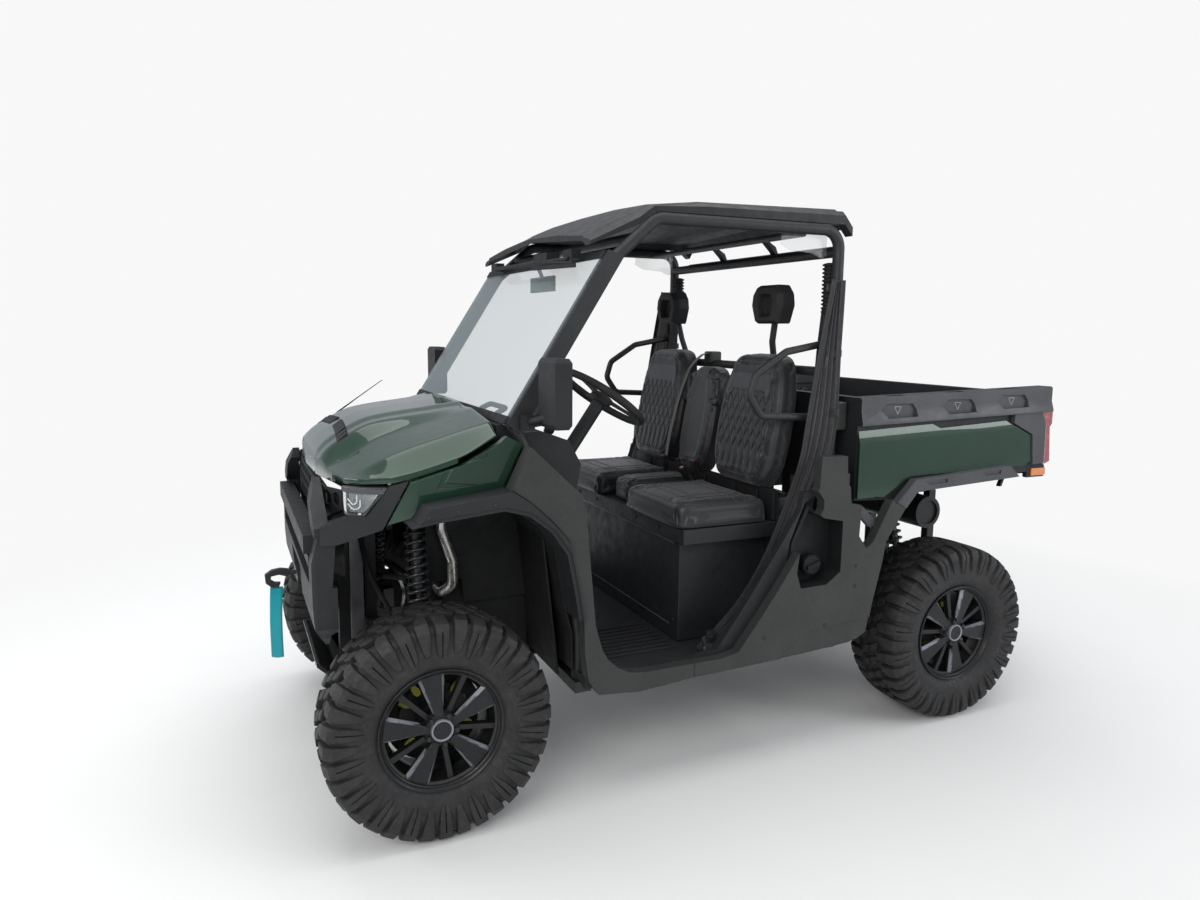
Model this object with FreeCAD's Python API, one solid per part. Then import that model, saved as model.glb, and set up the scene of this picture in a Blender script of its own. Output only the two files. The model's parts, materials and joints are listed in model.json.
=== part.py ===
import FreeCAD, Part
import math
import os

os.makedirs("parts", exist_ok=True)

Vector = FreeCAD.Vector

# Side by side utility vehicle with three seats, a roll cage, a tipping bed and a tailgate.
# Millimetres. +X is forward, +Y is the vehicle's left, +Z is up.
# Tables are laid out from the axle lines, with the hubs at the height axle_z; the finished
# part is then moved so that its tyres stand on the ground and its origin is at the middle
# of its length.

# Driving dimensions
wheelbase = 2200.0
front_axle_x = wheelbase / 2
rear_axle_x = -wheelbase / 2
seat_clearance = 0.3
running_clearance = 0.2
lid_gap = 6.0

# Wheels
tyre_radius = 372.0
axle_z = 345.0
lug_sectors = 44
lug_depth = 20.0
lug_sweep = 0.8
shoulder_drop = 40.0
sidewall_top_drop = 84.0
sidewall_low_radius = 240.0
centre_groove_half = 9.0
rim_bead_radius = 190.0
rim_lip_radius = 204.0
rim_wall = 13.0
rim_lip_width = 8.0
front_tyre_width = 240.0
rear_tyre_width = 275.0
front_rim_width = 210.0
rear_rim_width = 240.0
front_wheel_y = 693.0
rear_wheel_y = 667.0
rim_face_depth = 14.0
blade_count = 5
front_blade_turn = 9.5
rear_blade_turn = -24.8
hub_radius = 52.0
hub_cap_radius = 40.0
brake_disc_radius = 112.0
brake_disc_thickness = 6.0
spindle_radius = 20.0

# Steering and suspension
front_upright_y = 620.0
rear_upright_y = 575.0
upright_half = 22.0
upright_half_height = 100.0
ball_boss_radius = 24.0
ball_boss_height = 30.0
ball_pin_radius = 10.0
ball_gap = 12.0
disc_gap = 14.0
arm_tube_radius = 14.0
bush_radius = 18.0
bush_length = 40.0
ear_thickness = 6.0
ear_reach = 9.0
lower_pivot_y = 252.0
lower_pivot_z = 355.0
lower_pivot_dx = 150.0
upper_pivot_y = 247.0
upper_pivot_z = 540.0
upper_pivot_dx = 120.0
shock_bar_radius = 12.0
shock_bolt_radius = 8.0
shock_body_radius = 21.0
shock_rod_radius = 9.0
spring_radius = 35.0
spring_wire = 9.0
spring_pitch = 25.0
front_shock_foot_y = 480.0
front_shock_head = (385.0, 935.0)
rear_shock_foot_y = 440.0
rear_shock_head = (335.0, 800.0)
shock_dx = -8.0
drive_z = 430.0
half_shaft_radius = 14.0
joint_boot_radius = 34.0

# Frame
rail_y = 200.0
rail_half = 25.0
rail_bottom_z = 330.0
rail_top_z = 380.0
rail_front_dx = 250.0
rail_rear_dx = -420.0
post_half = 20.0
front_tower_top_z = 960.0
bed_rail_bottom_z = 830.0
bed_rail_top_z = 880.0
skid_thickness = 6.0
skid_half_width = 255.0
hoop_dx = 195.0

# Roll cage
cabin_half_width = 635.0
cage_tube_radius = 22.0
pillar_y = cabin_half_width + 5
cage_rail_z = 1985.0
rear_pillar_dx = 600.0
shoulder_bar_z = 1450.0
shoulder_bar_dx = 668.0

# Cabin
floor_z = 400.0
floor_thickness = 18.0
sill_top_z = 418.0
body_y = cabin_half_width + 150
seat_base_front_dx = 1210.0
seat_base_half_width = 535.0
seat_deck_z = 862.0
seat_top_z = 962.0
bench_front_dx = 1265.0
bench_rear_dx = 850.0
bench_half_width = 612.0
middle_seat_half = 112.0
seat_split = 6.0
steering_y = 380.0
steering_centre = (-730.0, 1350.0)
steering_rim_radius = 172.0
steering_tube_radius = 14.0
steering_tilt = 35.0
steering_hub_depth = 24.0
seat_back_lean = 10.0
seat_back_half = 50.0
seat_back_inset = 14.0
seat_back_gap = 8.0

# Body panels
post_width = 70.0
quarter_thickness = 43.0
skirt_inner_y = body_y - quarter_thickness
skirt_seam_dx = 1280.0
skirt_gap = 2.0
pocket_y = body_y - 89
flare_outer_y = body_y + 15
flare_inner_y = cabin_half_width + 5
cowl_y = cabin_half_width + 55
liner_thickness = 6.0
liner_inner_y = 318.0
hood_thickness = 14.0
hood_hinge_dx = -235.0
hood_hinge_z = 1300.0
hood_hinge_y = 300.0
hood_ear_half = 6.0
hood_pin_radius = 5.0
hood_side_height = 16.0
bumper_rear_dx = 300.0
bumper_window_half = 165.0
grille_front_dx = 296.0
grille_thickness = 8.0
grille_pitch = 52.0
grille_hole_radius = 24.0
lamp_foot_z = 1020.0
radiator_depth = 48.0
groove_depth = 8.0
trim_step = 6.0
coolant_pipe_radius = 19.0
coolant_pipe_y = 350.0

# Bed
bed_front_dx = 535.0
bed_rear_dx = -520.0
bed_half_width = 722.0
bed_wall = 50.0
bed_bottom_z = 985.0
bed_floor_z = 1010.0
bed_rail_front_z = 1350.0
bed_rail_rear_z = 1374.0
bed_hinge_dx = -380.0
bed_hinge_z = 855.0
bed_pin_radius = 12.0
bed_panel_thickness = 14.0
bed_pocket_depth = 10.0
rail_face_y = bed_half_width + 18
bed_lug_radius = 18.0
tailgate_thickness = 40.0
tailgate_hinge_z = 1006.0
tailgate_pin_radius = 8.0
tailgate_barrel_radius = 14.0
tailgate_pin_reach = 16.0


def fx(dx):
    """x of a point dx ahead of the front axle."""
    return front_axle_x + dx


def rx(dx):
    """x of a point dx ahead of the rear axle."""
    return rear_axle_x + dx


def at_front(table):
    """(dx, z) rows measured from the front axle, as (x, z) points."""
    return [(fx(dx), z) for dx, z in table]


def at_rear(table):
    """(dx, z) rows measured from the rear axle, as (x, z) points."""
    return [(rx(dx), z) for dx, z in table]


def face_of(points):
    return Part.Face(Part.makePolygon(points + [points[0]]))


def slab_y(outline, y_low, y_high):
    """A side-view outline of (x, z) points, filled from y_low to y_high."""
    return face_of([Vector(x, y_low, z) for x, z in outline]).extrude(Vector(0, y_high - y_low, 0))


def slab_x(outline, x_low, x_high):
    """A front-view outline of (y, z) points, filled from x_low to x_high."""
    return face_of([Vector(x_low, y, z) for y, z in outline]).extrude(Vector(x_high - x_low, 0, 0))


def slab_z(outline, z_low, z_high):
    """A plan outline of (x, y) points, filled from z_low to z_high."""
    return face_of([Vector(x, y, z_low) for x, y in outline]).extrude(Vector(0, 0, z_high - z_low))


def block(x_low, x_high, y_low, y_high, z_low, z_high):
    return Part.makeBox(x_high - x_low, y_high - y_low, z_high - z_low, Vector(x_low, y_low, z_low))


def rod(start, end, radius):
    """A round bar from one point to another."""
    along = Vector(*end) - Vector(*start)
    return Part.makeCylinder(radius, along.Length, Vector(*start), along)


def ruled_loft(sections):
    """A solid through closed sections, each a list of (x, y, z) points with the same count."""
    wires = [Part.makePolygon([Vector(*p) for p in section + section[:1]]) for section in sections]
    return Part.makeLoft(wires, True, True)


def bent_tube(route, bend, radius):
    """A round tube through the route's points, its corners rounded with tangent arcs."""
    points = [Vector(*p) for p in route]
    edges = []
    start = points[0]
    for before, corner, after in zip(points, points[1:], points[2:]):
        along_in = (corner - before).normalize()
        along_out = (after - corner).normalize()
        half_turn = along_in.getAngle(along_out) / 2
        reach = bend * math.tan(half_turn)
        inward = (along_out - along_in).normalize()
        leave = corner - along_in * reach
        meet = corner + along_out * reach
        middle = corner + inward * (bend / math.cos(half_turn) - bend)
        edges.append(Part.LineSegment(start, leave).toShape())
        edges.append(Part.Arc(leave, middle, meet).toShape())
        start = meet
    edges.append(Part.LineSegment(start, points[-1]).toShape())
    ring = Part.Wire(Part.makeCircle(radius, points[0], points[1] - points[0]))
    return Part.Wire(edges).makePipeShell([ring], True, True)


def joined(shapes):
    """The shapes fused into one solid."""
    return shapes[0].multiFuse(shapes[1:]).removeSplitter()


def mirrored(shape):
    """The same piece on the vehicle's other side."""
    return shape.mirror(Vector(0, 0, 0), Vector(0, 1, 0))


def both_sides(shape):
    return [shape, mirrored(shape)]


def strip(path, thickness, y_low, y_high):
    """A bent sheet: the (x, z) path and its copy moved inward by the thickness, filled across Y."""
    upper = []
    count = len(path)
    for i, (x, z) in enumerate(path):
        ahead = path[min(i + 1, count - 1)]
        behind = path[max(i - 1, 0)]
        length = math.hypot(ahead[0] - behind[0], ahead[1] - behind[1])
        normal = ((ahead[1] - behind[1]) / length, -(ahead[0] - behind[0]) / length)
        upper.append((x + normal[0] * thickness, z + normal[1] * thickness))
    return slab_y(path + upper[::-1], y_low, y_high)


def pillow(x_low, x_high, y_low, y_high, z_low, z_high, inset, rise):
    """A cushion's closed form: narrower at its foot and its crown, full between."""
    rows = [(z_low, inset), (z_low + rise, 0.0), (z_high - rise, 0.0), (z_high, inset)]
    sections = []
    for z, pull in rows:
        sections.append([
            (x_low + pull, y_low + pull, z),
            (x_high - pull, y_low + pull, z),
            (x_high - pull, y_high - pull, z),
            (x_low + pull, y_high - pull, z),
        ])
    return ruled_loft(sections)


# Wheels

def solid_of_triangles(points, triangles):
    """A closed solid from triangles that name their corners in the list of points."""
    shell = Part.Shape()
    shell.makeShapeFromMesh((points, triangles), 0.01)
    return Part.makeSolid(shell)


def tyre(axle_x, wheel_y, width):
    """Tyre with a swept row of shoulder lugs on each half, the two rows one sector apart."""
    half = width / 2
    sector = 2 * math.pi / lug_sectors
    bead = (rim_bead_radius + seat_clearance) / math.cos(sector / 2)
    floor = tyre_radius - lug_depth
    # distance from the middle plane, radius, turn in sectors
    floor_line = [(centre_groove_half, floor, 0), (0.84 * half, floor - 12, -lug_sweep)]
    lug_line = [(centre_groove_half, tyre_radius, 0), (0.74 * half, tyre_radius - 3, -lug_sweep),
                (0.97 * half, tyre_radius - shoulder_drop, -lug_sweep)]
    wall_line = [(half, tyre_radius - sidewall_top_drop, -lug_sweep), (0.97 * half, sidewall_low_radius, -lug_sweep),
                 (0.72 * half, bead, -lug_sweep)]
    rows = floor_line + lug_line + wall_line
    points = []
    for side in (1, -1):
        for k in range(lug_sectors):
            for y, radius, turn in rows:
                angle = (k + turn) * sector
                points.append(Vector(axle_x + radius * math.sin(angle), wheel_y + side * y,
                                     axle_z - radius * math.cos(angle)))
    triangles = []

    def place(side, k, row):
        first = 0 if side == 1 else lug_sectors * len(rows)
        return first + (k % lug_sectors) * len(rows) + row

    def corner(a, b, c, flip):
        triangles.append((a, c, b) if flip else (a, b, c))

    def quad(a, b, c, d, flip):
        corner(a, b, c, flip)
        corner(a, c, d, flip)

    # rows in the list: 0 and 1 the groove's floor, 2 to 4 the lug, 5 to 7 the sidewall
    for side in (1, -1):
        flip = side == -1
        for k in range(lug_sectors):
            is_lug = (k % 2 == 0) == (side == 1)
            line = [0, 2, 3, 4, 5, 6, 7] if is_lug else [0, 1, 5, 6, 7]
            for low, high in zip(line, line[1:]):
                quad(place(side, k, low), place(side, k, high), place(side, k + 1, high),
                     place(side, k + 1, low), flip)
            for fan in ((0, 2, 3), (0, 3, 1), (1, 3, 4), (1, 4, 5)):
                a, b, c = [place(side, k, row) for row in fan]
                corner(a, b, c, flip != is_lug)
    for k in range(lug_sectors):
        quad(place(-1, k, 0), place(1, k, 0), place(1, k + 1, 0), place(-1, k + 1, 0), False)
        quad(place(1, k, 7), place(-1, k, 7), place(-1, k + 1, 7), place(1, k + 1, 7), False)
    return solid_of_triangles(points, triangles)


def rim_barrel(axle_x, wheel_y, width):
    half = width / 2
    inside = rim_bead_radius - rim_wall
    lip = half - rim_lip_width
    profile = [
        (-half, inside), (-half, rim_lip_radius), (-lip, rim_lip_radius), (-lip, rim_bead_radius),
        (lip, rim_bead_radius), (lip, rim_lip_radius), (half, rim_lip_radius), (half, inside),
    ]
    points = [Vector(axle_x, wheel_y + y, axle_z + r) for y, r in profile]
    return face_of(points).revolve(Vector(axle_x, 0, axle_z), Vector(0, 1, 0), 360)


def turned_about_axle(shape, axle_x, angle):
    copy = shape.copy()
    copy.rotate(Vector(axle_x, 0, axle_z), Vector(0, 1, 0), angle)
    return copy


def rim(axle_x, wheel_y, width, upright_y, blade_turn):
    """Alloy wheel with wide wedge blades between slim spokes, its hub and its brake disc."""
    face_y = wheel_y + width / 2 - rim_face_depth
    reach = rim_bead_radius - rim_wall / 2
    disc_y = upright_y + upright_half + disc_gap
    wedge = ruled_loft([
        [(axle_x - 15, face_y - 30, axle_z + 30), (axle_x + 15, face_y - 30, axle_z + 30),
         (axle_x + 9, face_y, axle_z + 30), (axle_x - 9, face_y, axle_z + 30)],
        [(axle_x - 42, face_y - 26, axle_z + reach), (axle_x + 42, face_y - 26, axle_z + reach),
         (axle_x + 33, face_y - 2, axle_z + reach), (axle_x - 33, face_y - 2, axle_z + reach)],
    ])
    slim = block(axle_x - 8, axle_x + 8, face_y - 34, face_y - 14, axle_z + 30, axle_z + reach)
    pieces = [rim_barrel(axle_x, wheel_y, width)]
    for i in range(blade_count):
        turn = blade_turn + 360.0 * i / blade_count
        pieces.append(turned_about_axle(wedge, axle_x, turn))
        pieces.append(turned_about_axle(slim, axle_x, turn + 180.0 / blade_count))
    pieces.append(rod((axle_x, face_y - 36, axle_z), (axle_x, face_y - 4, axle_z), hub_radius))
    pieces.append(rod((axle_x, face_y - 4, axle_z), (axle_x, face_y + 8, axle_z), hub_cap_radius))
    pieces.append(rod((axle_x, disc_y, axle_z), (axle_x, face_y - 20, axle_z), hub_cap_radius))
    pieces.append(rod((axle_x, disc_y, axle_z), (axle_x, disc_y + brake_disc_thickness, axle_z),
                      brake_disc_radius))
    bore = rod((axle_x, disc_y - 5, axle_z), (axle_x, spindle_end_y(upright_y) + 5, axle_z),
               spindle_radius + running_clearance)
    return joined(pieces).cut(bore)


def spindle_end_y(upright_y):
    return upright_y + upright_half + 62.0


def upright(axle_x, upright_y):
    """Wheel carrier: the block between the two arms, its pins, its spindle and the brake calliper."""
    low_z = axle_z - upright_half_height
    high_z = axle_z + upright_half_height
    outer_y = upright_y + upright_half
    pin_reach = ball_gap + ball_boss_height - 2
    centre = (axle_x, axle_z)
    return joined([
        block(axle_x - upright_half, axle_x + upright_half, upright_y - upright_half, outer_y, low_z, high_z),
        rod((axle_x, upright_y, low_z - pin_reach), (axle_x, upright_y, high_z + pin_reach), ball_pin_radius),
        rod((axle_x, outer_y - 30, axle_z), (axle_x, outer_y, axle_z), 44),
        rod((axle_x, outer_y - 10, axle_z), (axle_x, spindle_end_y(upright_y), axle_z), spindle_radius),
        block(centre[0] - 110, centre[0] - 10, outer_y - 20, outer_y, centre[1] - 18, centre[1] + 18),
        block(centre[0] - 112, centre[0] - 66, outer_y - 26, outer_y + 8, centre[1] - 45, centre[1] + 45),
    ])


# Suspension

def arm(axle_x, pivot_dx, pivot_y, pivot_z, upright_y, boss_low_z, bar_y):
    """A two-legged arm: bushes on the frame's side, a bored boss round the upright's pin,
    and a cross bar for the shock absorber where bar_y isn't None."""
    boss_z = boss_low_z + ball_boss_height / 2
    pieces = [rod((axle_x, upright_y, boss_low_z), (axle_x, upright_y, boss_low_z + ball_boss_height),
                  ball_boss_radius)]
    for sign in (-1, 1):
        pivot_x = axle_x + sign * pivot_dx
        pieces.append(rod((pivot_x, pivot_y, pivot_z), (axle_x + sign * 6, upright_y - 12, boss_z), arm_tube_radius))
        pieces.append(rod((pivot_x - bush_length / 2, pivot_y, pivot_z),
                          (pivot_x + bush_length / 2, pivot_y, pivot_z), bush_radius))
    if bar_y is not None:
        share = (bar_y - pivot_y) / (upright_y - pivot_y)
        bar_z = pivot_z + (boss_z - pivot_z) * share
        spread = pivot_dx * (1 - share) + 6
        pieces.append(rod((axle_x - spread, bar_y, bar_z), (axle_x + spread, bar_y, bar_z), shock_bar_radius))
    bore = rod((axle_x, upright_y, boss_low_z - 5), (axle_x, upright_y, boss_low_z + ball_boss_height + 5),
               ball_pin_radius + running_clearance)
    return joined(pieces).cut(bore)


def lower_boss_z():
    return axle_z - upright_half_height - ball_gap - ball_boss_height


def upper_boss_z():
    return axle_z + upright_half_height + ball_gap


def shock_foot(upright_y, foot_y):
    """(y, z) of the upper arm's cross bar."""
    share = (foot_y - upper_pivot_y) / (upright_y - upper_pivot_y)
    boss_z = upper_boss_z() + ball_boss_height / 2
    return foot_y, upper_pivot_z + (boss_z - upper_pivot_z) * share


def shock(axle_x, foot, head):
    """Coil-over shock absorber between the arm's cross bar and the frame's bolt."""
    x = axle_x + shock_dx
    start = Vector(x, foot[0], foot[1])
    end = Vector(x, head[0], head[1])
    along = (end - start).normalize()
    length = (end - start).Length
    pieces = [
        rod((x - 12, foot[0], foot[1]), (x + 12, foot[0], foot[1]), shock_bar_radius + 9),
        rod((x - 12, head[0], head[1]), (x + 12, head[0], head[1]), shock_bolt_radius + 9),
        Part.makeCylinder(shock_body_radius, length * 0.6, start + along * 12, along),
        Part.makeCylinder(shock_rod_radius, length * 0.5, start + along * (length * 0.48), along),
        Part.makeCylinder(spring_radius, 8, start + along * 40, along),
        Part.makeCylinder(spring_radius, 8, start + along * (length - 32), along),
    ]
    turns = int((length - 90) / spring_pitch)
    for i in range(turns):
        place = start + along * (56 + i * spring_pitch)
        pieces.append(Part.makeCylinder(spring_radius, spring_wire, place, along))
    pieces.append(Part.makeCylinder(shock_body_radius + 2, length - 80, start + along * 44, along))
    solid = joined(pieces)
    solid = solid.cut(rod((x - 20, foot[0], foot[1]), (x + 20, foot[0], foot[1]), shock_bar_radius + seat_clearance))
    return solid.cut(rod((x - 20, head[0], head[1]), (x + 20, head[0], head[1]),
                         shock_bolt_radius + seat_clearance))


def axle_drive(axle_x, upright_y):
    """Final drive housing with a half shaft and rubber boots to each side."""
    end_y = upright_y - upright_half - 26
    pieces = [block(axle_x - 120, axle_x + 120, -85, 85, rail_top_z, drive_z + 44)]
    for side in (-1, 1):
        pieces.append(rod((axle_x, side * 80, drive_z), (axle_x, side * end_y, axle_z), half_shaft_radius))
        pieces.append(rod((axle_x, side * 80, drive_z), (axle_x, side * 118, drive_z - 6), joint_boot_radius))
        pieces.append(rod((axle_x, side * (end_y - 52), axle_z + 1), (axle_x, side * end_y, axle_z),
                          joint_boot_radius))
    return joined(pieces)


# Frame

def pivot_ears(axle_x, side):
    """Plates that hold the arms' bushes on the rails and the posts."""
    plates = []
    rows = [(lower_pivot_dx, rail_y + rail_half - 2, lower_pivot_y, lower_pivot_z, 20),
            (upper_pivot_dx, rail_y + post_half - 2, upper_pivot_y, upper_pivot_z, 22)]
    for pivot_dx, root_y, pivot_y, pivot_z, half_height in rows:
        for sign in (-1, 1):
            for end in (-1, 1):
                inner = axle_x + sign * pivot_dx + end * bush_length / 2
                outer = inner + end * ear_thickness
                y_pair = sorted((side * root_y, side * (pivot_y + ear_reach)))
                plates.append(block(min(inner, outer), max(inner, outer), y_pair[0], y_pair[1],
                                    pivot_z - half_height, pivot_z + half_height))
    return plates


def shock_ears(axle_x, head, top_z, side):
    """Two plates and the bolt for a shock absorber's upper eye."""
    x = axle_x + shock_dx
    y = side * head[0]
    pieces = [rod((x - 24, y, head[1]), (x + 24, y, head[1]), shock_bolt_radius)]
    for end in (-1, 1):
        inner = x + end * 18
        outer = inner + end * ear_thickness
        pieces.append(block(min(inner, outer), max(inner, outer), y - 20, y + 20, head[1] - 18, top_z))
    return pieces


def chassis_frame():
    pieces = []
    for side in (-1, 1):
        y_low = side * rail_y - rail_half
        pieces.append(block(rx(rail_rear_dx), fx(rail_front_dx), y_low, y_low + 2 * rail_half,
                            rail_bottom_z, rail_top_z))
        post_low = side * rail_y - post_half
        # post's rear face from its axle, foot, head
        front_posts_rows = [(-140, front_tower_top_z), (100, front_tower_top_z), (hoop_dx, 900)]
        for dx, head_z in front_posts_rows:
            pieces.append(block(fx(dx), fx(dx) + 2 * post_half, post_low, post_low + 2 * post_half,
                                rail_top_z - 2, head_z))
        for dx in (-420, -140, 100, 260):
            pieces.append(block(rx(dx), rx(dx) + 2 * post_half, post_low, post_low + 2 * post_half,
                                rail_top_z - 2, bed_rail_bottom_z + 2))
        bed_low = side * 205 - rail_half
        pieces.append(block(rx(bed_hinge_dx + 40), rx(300), bed_low, bed_low + 2 * rail_half,
                            bed_rail_bottom_z, bed_rail_top_z))
        pieces += hinge_ear(side)
        for axle_x in (front_axle_x, rear_axle_x):
            pieces += pivot_ears(axle_x, side)
        pieces += shock_ears(front_axle_x, front_shock_head, front_tower_top_z + 5, side)
        pieces += shock_ears(rear_axle_x, rear_shock_head, bed_rail_bottom_z + 5, side)
    # cross members between the rails: rear face from its axle, length along X
    for dx, length in ((210, 40), (110, 40), (-150, 40), (-555, 60)):
        pieces.append(block(fx(dx), fx(dx) + length, -rail_y, rail_y, rail_bottom_z, rail_top_z))
    for dx, length in ((570, 60), (110, 40), (-150, 40), (-420, 40)):
        pieces.append(block(rx(dx), rx(dx) + length, -rail_y, rail_y, rail_bottom_z, rail_top_z))
    # outriggers under the cage's feet and the sills
    pieces.append(block(fx(-555), fx(-495), -690, 690, rail_bottom_z + 10, rail_top_z))
    pieces.append(block(rx(570), rx(630), -690, 690, rail_bottom_z + 10, rail_top_z))
    # beams over the front tower and behind the rear one
    for dx in (-140, 100):
        pieces.append(block(fx(dx), fx(dx) + 40, -405, 405, front_tower_top_z - 5, front_tower_top_z + 35))
    for side in (-1, 1):
        y_pair = sorted((side * 365, side * 405))
        pieces.append(block(fx(-140), fx(140), y_pair[0], y_pair[1], front_tower_top_z, front_tower_top_z + 30))
    pieces.append(block(rx(-45), rx(15), -360, 360, bed_rail_bottom_z, bed_rail_bottom_z + 35))
    hoop_front = fx(hoop_dx) + 2 * post_half
    pieces.append(block(fx(hoop_dx), hoop_front, -rail_y - post_half, rail_y + post_half, 880, 920))
    pieces.append(block(hoop_front - 5, fx(rail_front_dx), -rail_y, rail_y, 590, 770))
    for side in (-1, 1):
        y_low = side * rail_y - post_half
        pieces.append(block(hoop_front - 5, fx(bumper_rear_dx), y_low, y_low + 2 * post_half,
                            700, 740))
    # hitch: a receiver tube behind the last cross member and its bolting plate
    pieces.append(block(rx(rail_rear_dx) - 8, rx(rail_rear_dx), -100, 100, rail_bottom_z - 25, rail_top_z + 60))
    pieces.append(block(rx(rail_rear_dx) - 75, rx(rail_rear_dx), -32, 32, rail_bottom_z - 10, rail_top_z + 4))
    pieces.append(skid_plate())
    frame = joined(pieces)
    frame = frame.cut(block(rx(rail_rear_dx) - 90, rx(rail_rear_dx) - 2, -25.5, 25.5,
                            rail_bottom_z - 3, rail_top_z - 2))
    for y in (-75, 75):
        for z in (rail_bottom_z - 5, rail_top_z + 40):
            frame = frame.cut(rod((rx(rail_rear_dx) - 20, y, z), (rx(rail_rear_dx) + 2, y, z), 6.5))
    return frame


def hinge_ear(side):
    """The frame's plate round the bed's hinge pin."""
    y_low = side * 205 - 10
    x = rx(bed_hinge_dx)
    plate = block(x, x + 60, y_low, y_low + 20, bed_hinge_z - 25, bed_hinge_z + 25)
    nose = rod((x, y_low, bed_hinge_z), (x, y_low + 20, bed_hinge_z), 25)
    hole = rod((x, y_low - 1, bed_hinge_z), (x, y_low + 21, bed_hinge_z), bed_pin_radius + running_clearance)
    return [joined([plate, nose]).cut(hole)]


def skid_plate():
    low = rail_bottom_z - skid_thickness
    outline = [
        (rx(60), low), (fx(240), low), (fx(322), low + 78), (fx(322), low + 90),
        (fx(312), low + 90), (fx(236), rail_bottom_z + 1), (rx(60), rail_bottom_z + 1),
    ]
    return slab_y(outline, -skid_half_width, skid_half_width)


# Roll cage

def cage_leg(side, radius):
    """Front leg from the outrigger, up behind the arch liner to the pillar's foot."""
    # dx from the front axle, z
    leg = [(-522, rail_top_z), (-522, 520), (-505, 745), (-478, 880), (-428, 1000), (-288, 1285)]
    return bent_tube([(fx(dx), side * (pillar_y + 6), z) for dx, z in leg], 70, radius)


def roll_cage():
    pieces = []
    front_line = at_front([(-259, 1296), (-620, 1868)])
    rear_line = at_front([(-676, 1850), (-306, 1262)])
    y_low = pillar_y - 12
    rear_x = rx(rear_pillar_dx)
    for side in (-1, 1):
        y_pair = sorted((side * y_low, side * (y_low + 45)))
        pieces.append(slab_y(front_line + rear_line, y_pair[0], y_pair[1]))
        y = side * pillar_y
        pieces.append(cage_leg(side, cage_tube_radius))
        pieces.append(bent_tube([
            (fx(-645), y, 1838), (fx(-812), y, cage_rail_z), (rear_x, y, cage_rail_z), (rear_x, y, rail_top_z),
        ], 70, cage_tube_radius))
        # grab bar bolted to the rear pillar: dx, z
        grab = [(600, 1566), (824, 1526), (960, 1440), (984, 1362), (930, 1285), (600, 1268)]
        pieces.append(bent_tube([(rx(dx), y, z) for dx, z in grab], 38, 14))
        head_y = side * 414
        pieces.append(bent_tube([
            (rx(shoulder_bar_dx), head_y - side * 60, shoulder_bar_z),
            (rx(700), head_y - side * 40, 1560), (rx(712), head_y, 1690),
        ], 60, 13))
    front_bar_x = fx(-735)
    pieces.append(rod((front_bar_x, -pillar_y, cage_rail_z - 68), (front_bar_x, pillar_y, cage_rail_z - 68), 18))
    pieces.append(rod((rear_x, -pillar_y, cage_rail_z - 80), (rear_x, pillar_y, cage_rail_z - 80), 20))
    pieces.append(rod((rx(shoulder_bar_dx), -pillar_y, shoulder_bar_z), (rx(shoulder_bar_dx), pillar_y, shoulder_bar_z),
                      18))
    for side in (-1, 1):
        y_pair = sorted((side * 622, side * 658))
        pieces.append(block(rear_x, rx(shoulder_bar_dx), y_pair[0], y_pair[1], shoulder_bar_z - 18, shoulder_bar_z + 18))
    return joined(pieces)


def roof_panel():
    """Moulded roof with a drooping visor: a crowned sheet with a lip along each side and a raised
    middle inside a stepped edge."""
    lip_z = cage_rail_z + cage_tube_radius + seat_clearance
    # x, half width, lip's lower z, edge top z, shoulder z, crown z, sheet thickness
    rows = [
        (fx(-575), 612, 1888, 1900, 1920, 1958, 14),
        (fx(-748), 640, 1962, 1985, 2004, 2030, 18),
        (fx(-800), 647, lip_z, 2024, 2034, 2052, 20),
        (fx(-1006), 650, lip_z, 2034, 2056, 2070, 34),
        (rx(580), 650, lip_z, 2040, 2068, 2082, 34),
        (rx(536), 640, lip_z - 40, 2000, 2026, 2042, 30),
    ]
    sections = []
    for x, w, low, edge, shoulder, crown, sheet in rows:
        half = [(w, low), (w, edge), (w - 20, shoulder - 10), (w - 54, shoulder - 6), (w - 66, shoulder + 3),
                (w * 0.5, (shoulder + crown) / 2 + 6), (0, crown)]
        inner = [(0, crown - sheet), (w - 70, shoulder - sheet), (w - 42, low)]
        ring = [(x, y, z) for y, z in half]
        ring += [(x, -y, z) for y, z in reversed(half[:-1])]
        ring += [(x, -y, z) for y, z in reversed(inner)]
        ring += [(x, y, z) for y, z in inner[1:]]
        sections.append(ring)
    return ruled_loft(sections)


def windshield():
    """Laminated screen lying on the front faces of the pillars."""
    along = Vector(-361, 0, 572).normalize()
    normal = Vector(572, 0, 361).normalize()
    foot = Vector(fx(-259), 0, 1296) + normal * seat_clearance - along * 4
    head = foot + along * 672
    thickness = normal * 6
    outline = [foot, head, head + thickness, foot + thickness]
    return slab_y([(p.x, p.z) for p in outline], -656, 656)


# Front body

# side arch, its band between two lines: dx from the front axle, z
arch_upper = [(60, 1012), (28, 1062), (-238, 1096), (-300, 1052), (-372, 985), (-432, 915), (-460, 790), (-488, 640)]
arch_lower = [(82, 1004), (-6, 1016), (-210, 1036), (-293, 1012), (-368, 952), (-423, 872), (-448, 751), (-466, 640)]
# hood: dx from the front axle, half width, heights of the side's edge, the shoulder, the band
# and the crown
hood_rows = [
    (-225, 664, 1245, 1298, 1326, 1338),
    (-100, 664, 1177, 1262, 1290, 1322),
    (106, 652, 1122, 1196, 1232, 1293),
    (217, 600, 1114, 1140, 1168, 1241),
    (283, 575, 1100, 1122, 1136, 1188),
    (312, 560, 1096, 1110, 1112, 1114),
]
hood_plan = [(-225, 664), (-100, 664), (106, 650), (200, 600), (240, 540), (262, 430), (295, 250), (306, 0)]
# the wedge of the bumper beside each lamp, and the gap line between it and the cowl
wedge_line = [(67, 1127), (143, 975)]


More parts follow.
